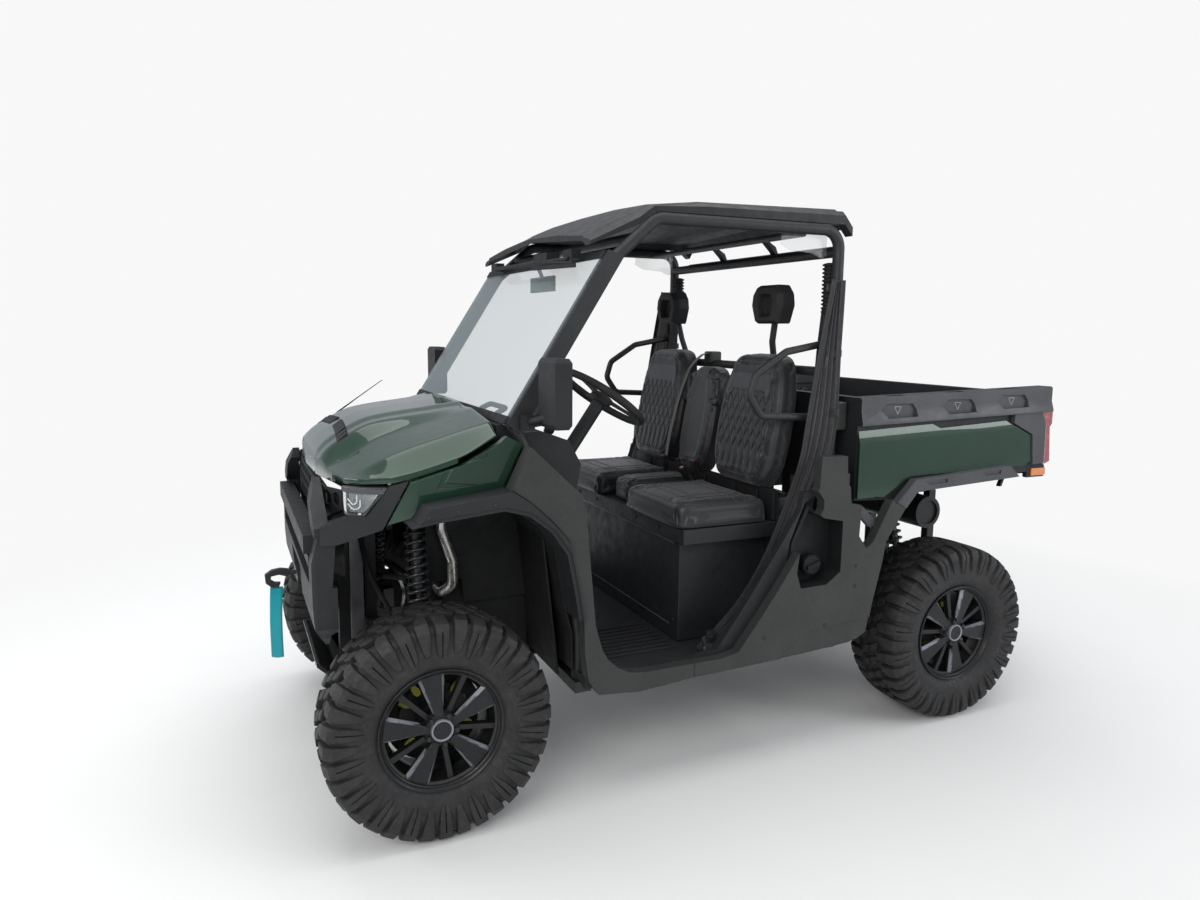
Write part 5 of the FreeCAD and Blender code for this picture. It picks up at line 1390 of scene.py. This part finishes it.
def seat_belts():
    """Ribbed guides, webbing and three buckles between the seats."""
    fitted("belt_guides", [bellows(1), bellows(-1)], soft_rubber, "black_plastic", "seat_belts", angle=30.0)
    buckle_rows = ((134, 905, 1016, 0.10), (96, 932, 990, 0.5), (-134, 905, 1004, 0.16))
    shells, buttons = zip(*[buckle(*row) for row in buckle_rows])
    fitted("buckles", shells, deep_black, "black_plastic", edge=2.5)
    fitted("buckle_buttons", buttons, lens_red, "black_plastic", edge=1.5)
    pillar_belt = rear_points([(606, 592, 1690), (632, 600, 1500), (640, 600, 1200), (690, 600, 960)])
    middle_belt = rear_points([(664, -128, 1478), (712, -134, 1502), (780, -152, 1440), (830, -166, 1290),
                               (884, -150, 1120), (912, -136, 985)])
    straps = both(ribbon(rounded_path(pillar_belt, 0.08), (1, 0, 0), 46))
    straps.append(ribbon(rounded_path(middle_belt, 0.05), (0.25, 1, 0), 44))
    fitted("belt_webbing", straps, webbing_black, "black_plastic")
    # anchor knuckle of the middle belt and the retractor covers behind the seats
    knuckle = rear_crate(640, 700, -165, -100, 1452, 1506)
    retractor = rear_crate(545, 596, 628, 672, 1220, 1330)
    fitted("belt_covers", [knuckle] + both(retractor), grey_plastic, "black_plastic", edge=9.0, segments=3)
    beam = [rear_crate(806, 828, -598, 598, 864, 985)]
    for y in (-0.46, -0.30, -0.06, 0.06, 0.30, 0.46):
        beam.append(crate(rx(826), rx(836), y - 0.035, y + 0.035, hz(880), hz(972)))
    fitted("seat_back_beam", beam, deep_black, "black_plastic", edge=4.0)


side_net(1)
side_net(-1)
winch_strap()
seat_belts()


# Body pieces that the frame's forms carry

bed_wall_inner = 0.6662
pad_profile = [(0, 0.0002), (0, 0.030), (0.004, 0.030), (0.010, 0.021), (0.010, 0.0002)]
plug_profile = [(0, 0.0002), (0, 0.009), (0.004, 0.008), (0.004, 0.0002)]


def pocket_outlines():
    """Plain triangles by the stake pockets."""
    outlines = []
    y = 0.7305
    for dx, z in ((345, 1296), (26, 1304), (-282, 1315)):
        corners = [(rx(dx + 17), y, hz(z + 15)), (rx(dx - 17), y, hz(z + 15)), (rx(dx), y, hz(z - 15))]
        outlines += [bar(start, end, 0.0021, 8, 0.0004)
                     for start, end in zip(corners, corners[1:] + corners[:1])]
    fitted("pocket_outlines", both(*outlines), pale_trim, "trim_grey", body="bed")


def bed_details():
    tub = dressed("bed_tub", black_plastic, 3.0)
    rail_low = hz(1232)
    zoned(tub, trim_grey, lambda c: abs(c.y) > 0.7225 and (c.z > rail_low or c.x < rx(-300)))
    pocket_outlines()
    # raised six-sided pads on the load space's walls, and plugs above them
    pad_spots = []
    plug_spots = []
    for side in (1, -1):
        for k in range(12):
            dx = 440 - k * 80
            pad_spots.append(((rx(dx), side * bed_wall_inner, hz(1255)), (0, -side, 0)))
            pad_spots.append(((rx(dx - 40), side * bed_wall_inner, hz(1165)), (0, -side, 0)))
        for k in range(5):
            plug_spots.append(((rx(400 - k * 190), side * bed_wall_inner, hz(1322)), (0, -side, 0)))
    pad = stock_part("wall_pad", turned(pad_profile, steps=6))
    plug = stock_part("plug", turned(plug_profile, steps=12))
    pads = place_on_points("bed_wall_pads", pad, pad_spots, black_plastic)
    add(smooth(pads, 30.0), "bed", "black_plastic")
    plugs = place_on_points("bed_plugs", plug, plug_spots, deep_black)
    add(smooth(plugs, 30.0), "bed", "black_plastic")
    floor_ribs = [crate(rx(-470), rx(470), i * 0.1 - 0.012, i * 0.1 + 0.012, hz(1009), hz(1015))
                  for i in range(-6, 7)]
    fitted("bed_floor_ribs", floor_ribs, black_plastic, "black_plastic", body="bed", edge=2.0)
    lamps = dressed("tail_lamps", lens_red, 3.0)
    zoned(lamps, lamp_white, lambda c: hz(1118) < c.z < hz(1150))
    block = rear_crate(-528, -420, 700, 724, 975, 1028)
    marker = rear_crate(-526, -440, 722, 731, 983, 1016)
    fitted("marker_blocks", both(block), black_plastic, "black_plastic", body="bed", edge=4.0)
    fitted("side_markers", both(marker), lens_amber, "lamp_red", body="bed", edge=2.5)
    lever_outline = at_rear([(535, 924), (512, 926), (446, 868), (446, 838), (476, 838), (532, 890)])
    lever = slab_y(lever_outline, 0.732, 0.752)
    fitted("bed_lever", both(lever), trim_grey, "trim_grey", edge=6.0, segments=3)
    bracket_outline = at_rear([(-350, 985), (-450, 985), (-420, 915), (-405, 915), (-425, 960), (-350, 972)])
    bracket = slab_y(bracket_outline, 0.58, 0.60)
    fitted("under_bed_bracket", both(bracket), frame_steel, "frame_steel", body="bed", edge=2.0)


coil_radius = 0.0335
coil_steps = 16
shock_eye = [(-0.016, 0.010), (-0.016, 0.020), (0.016, 0.020), (0.016, 0.010)]
spring_cup = [(0, 0.010), (0, 0.040), (0.006, 0.040), (0.010, 0.032), (0.010, 0.010)]


def shock(axle_x, head, foot, name, *stood_for):
    """Dampers with their rods and spring seats, and open coil springs; head and foot are (y, z)."""
    parts = []
    coils = []
    for side in (1, -1):
        top = Vector((axle_x, side * head[0] * MM, hz(head[1])))
        low = Vector((axle_x, side * foot[0] * MM, hz(foot[1])))
        along = (top - low).normalized()
        length = (top - low).length
        parts += [bar(low + along * 0.02, low + along * length * 0.55, 0.0105, 20),
                  bar(low + along * length * 0.48, top - along * 0.02, 0.0215, 28)]
        parts += [turned(shock_eye, end, (1, 0, 0), 24) for end in (top, low)]
        parts += [turned(spring_cup, low + along * length * share, along, 36) for share in (0.12, 0.90)]
        side_axis = along.orthogonal().normalized()
        other = along.cross(side_axis)
        steps = int(length * 0.76 / 0.027) * coil_steps
        path = []
        for i in range(steps + 1):
            angle = 2 * math.pi * i / coil_steps
            out = (math.cos(angle) * side_axis + math.sin(angle) * other) * coil_radius
            path.append(low + along * length * (0.14 + 0.76 * i / steps) + out)
        coils.append(tube(path, 0.0058, 8))
    fitted("dampers_" + name, parts, spring_steel, "frame_steel", *stood_for, angle=35.0)
    fitted("springs_" + name, coils, coil_steel, "frame_steel", angle=60.0)


def wheel_wells():
    shock(fx(-8), (385, 935), (480, 497.5), "front", "shock_absorbers")
    shock(rx(-8), (335, 800), (440, 500), "rear")
    panels = [slab_y(at_front([(-470, 382), (-462, 382), (-400, 938), (-408, 938)]), -0.60, 0.60)]
    panels += both(front_crate(-452, -125, 296, 304, 385, 950))
    # shelf and wall that close the space between the nose lamps and the hood
    shelf = [(288, 0), (280, -250), (254, -428), (240, -520), (196, -596), (110, -612),
             (110, 612), (196, 596), (240, 520), (254, 428), (280, 250)]
    panels.append(loft([[(fx(a), b * MM, hz(z)) for a, b in shelf] for z in (1093, 1097)]))
    panels.append(slab_x([(-0.520, hz(980)), (0.520, hz(980)), (0.520, hz(1128)), (0.300, hz(1172)),
                          (-0.300, hz(1172)), (-0.520, hz(1128))], fx(100), fx(106)))
    screen = [(fx(a), b * MM) for a, b in ((246, -520), (282, -436), (282, 436), (246, 520))]
    panels.append(loft([[(x - 0.003, y, hz(800)), (x, y, hz(800)), (x, y, hz(1085)),
                         (x - 0.003, y, hz(1085))] for x, y in screen]))
    fitted("inner_panels", panels, deep_black, "black_plastic", edge=3.0)
    caliper_hose = front_points([(-60, 300, 900), (-30, 350, 820), (-46, 470, 640), (-60, 560, 480)])
    axle_hose = front_points([(160, 215, 900), (140, 300, 740), (70, 330, 600), (40, 240, 520)])
    hoses = both(tube(rounded_path(caliper_hose, 0.06, 8), 0.006, 10),
                 tube(rounded_path(axle_hose, 0.06, 8), 0.009, 12))
    fitted("brake_hoses", hoses, soft_rubber, "rubber_grip", angle=60.0)


# Hood: half width and heights of the side's edge, the shoulder, the band and the crown, by dx
hood_dx = [-225, -100, 106, 217, 283, 312]
hood_half = [664, 664, 652, 600, 575, 560]
hood_edge = [1245, 1177, 1122, 1114, 1100, 1096]
hood_shoulder = [1298, 1262, 1196, 1140, 1122, 1110]
hood_band = [1326, 1290, 1232, 1168, 1136, 1112]
hood_crown = [1338, 1322, 1293, 1241, 1188, 1114]
# plan: half widths, and the dx where the hood ends there
nose_half = [0, 250, 430, 540, 600, 650, 664]
nose_dx = [306, 295, 262, 240, 200, 106, -100]
hood_rear_dx = -225
hood_rows = 44


def eased(xs, ys, x):
    """A smooth curve through the values, without overshoot."""
    steps = numpy.diff(ys) / numpy.diff(xs)
    slopes = [steps[0]]
    for before, after in zip(steps, steps[1:]):
        slopes.append(0.0 if before * after <= 0 else 2 * before * after / (before + after))
    slopes.append(steps[-1])
    i = min(max(int(numpy.searchsorted(xs, x)) - 1, 0), len(xs) - 2)
    width = xs[i + 1] - xs[i]
    t = min(max((x - xs[i]) / width, 0.0), 1.0)
    return ((1 + 2 * t) * (1 - t) ** 2 * ys[i] + t * (1 - t) ** 2 * width * slopes[i]
            + t * t * (3 - 2 * t) * ys[i + 1] + t * t * (t - 1) * width * slopes[i + 1])


def hood_height(dx, y):
    """Height of the hood's skin, its creases rounded over some 20 mm."""
    half = eased(hood_dx, hood_half, dx)
    crown = eased(hood_dx, hood_crown, dx)
    shoulder = eased(hood_dx, hood_shoulder, dx)
    band = eased(hood_dx, hood_band, dx)
    edge = min(eased(hood_dx, hood_edge, dx) + 16, shoulder - 4)
    ys = [0, 210, 240, 300, 370, half - 70, half]
    zs = [min(z, crown) for z in (crown, crown - 2, crown - 12, crown - 15, band, shoulder, edge)]
    spots = [abs(y) + shift for shift in (-10, -6, -2, 2, 6, 10)]
    return sum(numpy.interp(abs(s), ys, zs) for s in spots) / len(spots)


def hood_skin():
    """Pressed hood with a raised middle, smooth creases and a turned-down rim."""
    sections = []
    for k in range(-70, 71):
        y = nose_half[-1] * math.sin(math.pi / 2 * k / 70)
        nose = numpy.interp(abs(y), nose_half, nose_dx)
        column = []
        for i in range(hood_rows + 1):
            dx = hood_rear_dx + (nose - hood_rear_dx) * math.sin(math.pi / 2 * i / hood_rows)
            column.append((dx, hood_height(dx, y)))
        brow = hood_height(nose, y)
        low = min(1100 if abs(y) < 428 else eased(hood_dx, hood_edge, nose), brow - 9)
        column += [(nose + 1.6, brow - 0.8), (nose + 2.8, brow - 2.4), (nose + 3.2, brow - 4.8),
                   (nose + 3.2, low + 1.5), (nose + 2.0, low)]
        sections.append([(fx(dx), y * MM, hz(z)) for dx, z in column])
    piece = outward(new_piece("outer_hood_lid", mesh_from("hood", *loft(sections, False)), green_paint))
    settle(smooth(piece, 50.0), "SOLIDIFY", thickness=0.009, offset=-1.0)
    ear = at_front([(-235, 1291), (-200, 1291), (-200, 1314), (-222, 1320), (-235, 1309)])
    ears = [slab_y(ear, y - 0.006, y + 0.006) for y in (-0.3, 0.3)]
    fitted("hood_ears", ears, frame_steel, "green_paint", body="hood", edge=1.5)
    return add(piece, "hood", "green_paint", "hood_lid")


vent_steps = 27
vent_sweep = 0.016
tooth_half = 0.0125


def hood_details():
    skin = skin_of(hood_skin())

    def seated(dx, sweep, y, lift):
        """The point of the skin under (x, y), raised by lift millimetres."""
        place, normal = skin.ray_cast(Vector((fx(dx) + sweep, y, 3)), Vector((0, 0, -1)))[:2]
        return place + normal * lift * MM

    bands = []
    teeth = []
    for side in (1, -1):
        sections = []
        for k in range(vent_steps + 1):
            share = k / vent_steps
            y = side * (0.040 + 0.262 * share)
            sections.append([seated(dx, vent_sweep * share, y, 0.9) for dx in (176, 186, 196, 206, 214)])
        bands.append(loft(sections, False))
        for k in range(7):
            y = side * (0.052 + 0.0385 * k)
            sweep = vent_sweep * k / 6.5
            teeth.append(loft([[seated(dx, sweep, y + dy, out) for dy, out in (
                (-tooth_half, 0), (tooth_half, 0), (tooth_half, lift), (-tooth_half, lift))]
                for dx, lift in ((180, 6.5), (212, 1.2))]))
    band = smooth(joined_mesh("hood_vent_bands", bands, deep_black), 50.0)
    add(settle(band, "SOLIDIFY", thickness=0.0012), "hood", "green_paint")
    fitted("hood_vent_teeth", teeth, black_plastic, "green_paint", body="hood", edge=1.5)


def lamp_details():
    dressed("headlights", lens_clear, 3.0)
    sections = []
    for share in (0.0, 0.34, 0.67, 1.0):
        back = 197 - 57 * share
        outer = 634 if share > 0.3 else 619
        row = [(240, 548), (233, 582), (max(back, 187), 619), (back, outer), (back, 556)]
        sections.append([(fx(dx), y * MM, hz(1027 + 72 * share)) for dx, y in row])
    bowl = loft(sections)
    trim_line = front_points([(252, 553, 1100), (241, 594, 1100), (190, 634, 1099), (136, 651, 1097)])
    trim = ribbon(trim_line, (0, 0, 1), 15, 3)
    lines = []
    for low, reach in ((1050, 0), (1066, 9)):
        y = 622 - reach * 0.7
        route = front_points([(206 + reach, y, low + 22), (206 + reach, y, low - 4), (226, 604, low - 12),
                              (240, 594, low + 8)])
        lines.append(tube(rounded_path(route, 0.012, 6), 0.0022, 8))
    fitted("lamp_bowls", both(bowl), reflector, "lamp_clear", edge=3.0)
    fitted("lamp_trims", both(trim), trim_grey, "lamp_clear", edge=1.0)
    fitted("lamp_lines", both(*lines), lamp_white, "lamp_clear", angle=60.0)


def screen_details():
    dressed("windshield", screen_clear, 1.0)
    along = Vector((-361, 0, 572)).normalized()
    normal = Vector((572, 0, 361)).normalized()
    foot = Vector((fx(-259), 0, hz(1296)))
    trims = []
    for start, end in ((-6, 26), (640, 672)):
        ring = [foot + (along * run + normal * out) * MM for run, out in (
            (start, 1.0), (end, 1.0), (end, 10.0), (start, 10.0))]
        trims.append(slab_y([(p.x, p.z) for p in ring], -0.655, 0.655))
    fitted("screen_trims", trims, deep_black, "screen_glass", edge=3.0)
    # wiper: motor, arm and blade under the visor
    wiper = [front_crate(-588, -536, 160, 300, 1842, 1884),
             front_crate(-580, -545, -420, -340, 1850, 1886),
             front_crate(-580, -545, 440, 520, 1846, 1880),
             bar(*front_points([(-548, -360, 1862), (-540, 500, 1846)]), 0.008, 12),
             bar(*front_points([(-540, 230, 1850), (-532, 560, 1828)]), 0.006, 12),
             ribbon(front_points([(-530, 160, 1832), (-526, 600, 1818)]), (0, 0, 1), 14, 6)]
    fitted("wiper", wiper, deep_black, "black_plastic", edge=3.0)
    mirror = [front_crate(-640, -624, -125, 125, 1752, 1812),
              bar(*front_points([(-632, 0, 1805), (-610, 0, 1858)]), 0.008, 12)]
    fitted("inside_mirror", mirror, black_plastic, "black_plastic", edge=7.0, segments=3)


def roof_details():
    dressed("roof_panel", black_plastic, 7.0, 3)
    strip = [rear_crate(556, 563, -560, 560, 1893, 1934)]
    hinge = at_rear([(560, 1905), (585, 1960), (640, 1992), (655, 1992), (600, 1940), (563, 1890)])
    strip += [slab_y(hinge, y - 0.016, y + 0.016) for y in (-0.20, 0.20)]
    fitted("roof_rear_strip", strip, black_plastic, "black_plastic", edge=3.0)
    rail = bar(*rear_points([(735, -600, 1972), (735, 600, 1972)]), 0.014, 20)
    fitted("roof_cross_rail", [rail], trim_grey, "cage_steel")
    gusset = slab_y(at_rear([(845, 1975), (845, 1925), (800, 1905), (700, 1898), (655, 1880), (632, 1890),
                             (632, 1972)]), 0.606, 0.610)
    fitted("roof_gussets", both(gusset), gusset_clear, "screen_glass", edge=1.2, angle=20.0)


def steering_wheel():
    """Rim with two thicker grips, a boss and three spokes."""
    centre = Vector((fx(-730), 0.380, hz(1350)))
    lean = math.radians(35)
    out = Vector((-math.sin(lean), 0, math.cos(lean)))
    side = Vector((0, 1, 0))
    up = out.cross(side)
    angles = [2 * math.pi * i / 96 for i in range(97)]
    line = [centre + (math.cos(angle) * side + math.sin(angle) * up) * 0.172 for angle in angles]
    radii = [0.0135 + 0.002 * (0.5 + 0.5 * math.cos(2 * angle)) ** 2 for angle in angles]
    boss = [(-0.024, 0.0002), (-0.024, 0.036), (-0.004, 0.046), (0.006, 0.044), (0.010, 0.034),
            (0.010, 0.0002)]
    wheel = [tube(line, 0.0145, 16, radii), turned(boss, centre, out, 40)]
    for angle in (180, 300, 420):
        turn = math.radians(angle)
        way = math.cos(turn) * side + math.sin(turn) * up
        across = out.cross(way)
        wheel.append(loft([[centre + way * r + across * w * sign + out * rise for sign, rise in (
            (-1, -0.006), (1, -0.006), (1, 0.003), (-1, 0.003))] for r, w in (
                (0.034, 0.020), (0.090, 0.014), (0.168, 0.017))]))
    fitted("steering_wheel_rim", wheel, soft_rubber, "rubber_grip", "steering_wheel", body="steering_wheel")


def dash_fittings():
    """Instrument pod, switch panel, box lid, shifter and grab handle."""
    pod_rows = ((-420, 1255, 1290), (-470, 1262, 1322), (-512, 1268, 1330), (-520, 1274, 1322))
    pod = loft([[(fx(dx), y * MM, hz(z)) for y, z in ((300, low), (460, low), (455, high), (305, high))]
                for dx, low, high in pod_rows])
    panel_outline = at_front([(-540, 1160), (-552, 1150), (-556, 1100), (-548, 1092), (-530, 1095)])
    panel = slab_y(panel_outline, -0.02, 0.24)
    lid = slab_y(at_front([(-512, 1215), (-556, 1140), (-551, 1132), (-505, 1205)]), -0.50, -0.12)
    lever = bar(*front_points([(-548, 110, 1120), (-610, 110, 1190)]), 0.009, 14)
    knob = turned([(0, 0.0002), (0.004, 0.016), (0.020, 0.022), (0.040, 0.018), (0.046, 0.0002)],
                  (fx(-604), 0.11, hz(1184)), (-0.66, 0, 0.75), 24)
    handle_route = front_points([(-500, -460, 1240), (-545, -460, 1262), (-545, -220, 1262),
                                 (-500, -220, 1240)])
    handle = tube(rounded_path(handle_route, 0.03, 6), 0.012, 14)
    fitted("dash_fittings", [pod, panel, lid, lever, knob, handle], deep_black, "black_plastic", edge=3.0)
    face = slab_x([(0.315, hz(1276)), (0.445, hz(1276)), (0.442, hz(1316)), (0.318, hz(1316))],
                  fx(-521.5), fx(-519))
    fitted("gauge_face", [face], lens_clear, "black_plastic", edge=1.0)


cap_teeth = 24
fuel_cap_profile = [(-0.030, 0.0002), (-0.030, 0.040), (-0.006, 0.040), (0.0, 0.034), (0.0, 0.0002)]


def fuel_cap():
    """Round cap with a toothed rim and a bar to turn it by, in its dark pocket."""
    middle = box_centre("fuel_cap")
    x, y, z = middle.x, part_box("fuel_cap")[1].y, middle.z
    tooth = crate(x - 0.0025, x + 0.0025, y - 0.028, y - 0.006, z + 0.038, z + 0.0425)
    grip = crate(x - 0.030, x + 0.030, y - 0.004, y + 0.009, z - 0.008, z + 0.008)
    parts = [turned(fuel_cap_profile, (x, y, z), (0, 1, 0), 48)]
    parts += [spun(tooth, 2 * math.pi * k / cap_teeth, (x, y, z)) for k in range(cap_teeth)]
    parts.append(spun(grip, 0.3, (x, y, z)))
    fitted("fuel_cap_grip", parts, deep_black, "black_plastic", "fuel_cap", edge=1.2)


def cabin_details():
    quarters = dressed("rear_quarters", grey_plastic, 4.0)
    zoned(quarters, deep_black,
          lambda c: rx(620) < c.x < rx(850) and hz(632) < c.z < hz(942) and abs(c.y) < 0.752)
    dressed("floor_tub", black_plastic, 4.0)
    ribs = [crate(rx(1245), fx(-600), 0.293 + 0.034 * k, 0.307 + 0.034 * k, hz(399), hz(405))
            for k in range(9)]
    fitted("floor_ribs", both(*ribs), soft_rubber, "black_plastic", edge=1.5)
    steering_wheel()
    dash_fittings()
    dressed("seat_base", black_plastic, 6.0)
    trims = [rear_crate(1211, 1216, -500, 500, 786, 796),
             rear_crate(1211, 1214, -470, 470, 452, 458)]
    trims += [crate(rx(830), rx(1190), y, y + 0.006, hz(786), hz(796)) for y in (0.5355, -0.5415)]
    fitted("base_trims", trims, trim_grey, "black_plastic", edge=1.5)
    face = slab_x([(0.728, hz(1312)), (0.846, hz(1312)), (0.852, hz(1400)), (0.846, hz(1496)),
                   (0.728, hz(1496))], fx(-412.5), fx(-410))
    fitted("mirror_faces", both(face), mirror_face, "black_plastic", edge=1.0)
    fuel_cap()
    # aerial on the far cowl
    aerial_line = front_points([(117, -664, 1192), (110, -666, 1222), (10, -672, 1292), (-96, -672, 1365)])
    aerial = tube(aerial_line, 0.002, 8, [0.006, 0.004, 0.0022, 0.0016])
    fitted("aerial", [aerial], deep_black, "black_plastic", angle=60.0)


screw_profile = [(-0.001, 0.0002), (-0.001, 0.0072), (0.001, 0.0070), (0.0032, 0.0045), (0.0036, 0.0002)]


def screws():
    """Domed screws where the mouldings are held."""
    head = stock_part("screw_head", turned(screw_profile, steps=12))
    # rows of x, y and z of the left side's screws, and of those that face forward
    sideways = [(rx(dx), 0.7855, z)
                for dx, z in ((700, 480), (980, 470), (1240, 470), (560, 700), (560, 620))]
    sideways += [(fx(dx), 0.8005, z) for dx, z in ((-60, 1046), (-180, 1058), (30, 1036))]
    sideways += [(rx(dx), 0.7225, 1000) for dx in (300, -60)]
    forward = [(rx(1230.5), y, 832) for y in (0.20, 0.40)]
    forward += [(rx(1210.5), y, 480) for y in (0.12, 0.36, 0.50)]
    spots = []
    for side in (1, -1):
        spots += [((x, side * y, hz(z)), (0, side, 0)) for x, y, z in sideways]
        spots += [((x, side * y, hz(z)), (1, 0, 0)) for x, y, z in forward]
    add(smooth(place_on_points("screws", head, spots, frame_steel), 35.0), "chassis", "frame_steel")


bed_details()
wheel_wells()
hood_details()
lamp_details()
screen_details()
roof_details()
cabin_details()
screws()


# Rigid pieces that keep the frame's own form: material, edge rounding in millimetres, nodes
plain_rows = [
    (frame_steel, 2.0, ["chassis_frame", "winch"]),
    (frame_steel, 1.5, ["suspension_arms"]),
    (frame_steel, 3.0, ["muffler"]),
    (cage_steel, 1.5, ["roll_cage"]),
    (black_plastic, 4.0, ["fender_flares"]),
    (black_plastic, 5.0, ["tailgate"]),
    (black_plastic, 6.0, ["front_bumper", "mirrors"]),
    (black_plastic, 8.0, ["dashboard"]),
    (deep_black, 1.0, ["wheel_liners"]),
    (deep_black, 2.0, ["grille"]),
    (grey_plastic, 6.0, ["front_posts"]),
    (green_paint, 4.0, ["bed_panels"]),
    (green_paint, 5.0, ["side_cowls"]),
    (trim_grey, 5.0, ["bed_arch_strips"]),
    (radiator_metal, 2.0, ["radiator"]),
    (engine_metal, 8.0, ["power_unit"]),
    (engine_metal, 3.0, ["axle_drives", "knuckle_left", "knuckle_right", "rear_uprights"]),
    (bright_steel, 1.5, ["coolant_pipe"]),
]
for plain_material, plain_edge, plain_nodes in plain_rows:
    for plain_node in plain_nodes:
        dressed(plain_node, plain_material, plain_edge)


# Studio

backdrop_white = (0.94, 0.94, 0.94)
floor_reach = 30.0

# name, place, aim, width, height, power, colour
lamp_rows = [
    ("overhead", (0.0, 0.0, 5.2), (0.0, 0.0, 0.8), 6.0, 5.0, 170.0, (1.0, 0.99, 0.97)),
    ("key", (4.2, 4.6, 3.6), (0.3, 0.0, 0.9), 3.2, 2.6, 150.0, (1.0, 0.98, 0.95)),
    ("rear_side", (-4.4, 4.2, 2.8), (-0.6, 0.2, 0.8), 3.0, 2.4, 95.0, (0.96, 0.98, 1.0)),
    ("far_side", (0.5, -5.0, 3.0), (0.0, 0.0, 0.9), 4.0, 2.4, 80.0, (0.95, 0.97, 1.0)),
    ("front", (5.5, -1.5, 2.4), (1.2, 0.0, 0.8), 2.6, 2.2, 70.0, (1.0, 1.0, 1.0)),
]


def studio_floor():
    """Plain pale floor; past the object's shadow it runs into the white of the surround."""
    finish = Finish("studio_floor")
    tree = finish.tree
    finish.set(Base_Color=finish.mix(finish.varied(1.2, 0.0, 1.0), (0.80, 0.80, 0.79), (0.82, 0.82, 0.81)),
               Roughness=0.8)
    distance = new_node(tree, "ShaderNodeVectorMath", {0: finish.coords},
                        operation="LENGTH").outputs["Value"]
    seen = tree.nodes.new("ShaderNodeLightPath").outputs["Is Camera Ray"]
    share = calculate(tree, "MULTIPLY", finish.spread(distance, 0.0, 1.0, 1.9, 4.2), seen)
    white = new_node(tree, "ShaderNodeEmission", {"Color": backdrop_white}).outputs["Emission"]
    choice = new_node(tree, "ShaderNodeMixShader",
                      {"Fac": share, 1: finish.shader.outputs["BSDF"], 2: white})
    feed(tree, tree.nodes["Material Output"].inputs["Surface"], choice.outputs["Shader"])
    corners = [(floor_reach * x, floor_reach * y, 0) for x, y in ((-1, -1), (1, -1), (1, 1), (-1, 1))]
    new_piece("studio_floor", mesh_from("studio_floor", corners, [(0, 1, 2, 3)]), finish.material)


def studio_lamp(name, place, aim, width, height, power, colour):
    light = bpy.data.lights.new(name, "AREA")
    light.shape = "RECTANGLE"
    light.size = width
    light.size_y = height
    light.energy = power
    light.color = colour
    lamp = bpy.data.objects.new(name, light)
    bpy.context.scene.collection.objects.link(lamp)
    lamp.location = place
    # this one would only lie as a white glare on the screen and the hood
    lamp.visible_glossy = name != "far_side"
    lamp.rotation_mode = "QUATERNION"
    lamp.rotation_quaternion = (Vector(aim) - Vector(place)).to_track_quat("-Z", "Y")


def surround():
    """White to the camera and through glass, a softer blue-white as a light."""
    world = bpy.data.worlds.new("surround")
    bpy.context.scene.world = world
    world.use_nodes = True
    tree = world.node_tree
    tree.nodes.clear()
    ray = tree.nodes.new("ShaderNodeLightPath").outputs
    seen = calculate(tree, "MAXIMUM", ray["Is Camera Ray"], ray["Is Transmission Ray"])
    lit, plain = [new_node(tree, "ShaderNodeBackground", {"Color": colour, "Strength": strength}).outputs[0]
                  for colour, strength in (((0.86, 0.90, 0.96), 0.55), (backdrop_white, 1.0))]
    choice = new_node(tree, "ShaderNodeMixShader", {"Fac": seen, 1: lit, 2: plain})
    new_node(tree, "ShaderNodeOutputWorld", {"Surface": choice.outputs["Shader"]})


studio_floor()
for lamp_row in lamp_rows:
    studio_lamp(*lamp_row)
surround()
bpy.context.scene.view_settings.view_transform = "Standard"
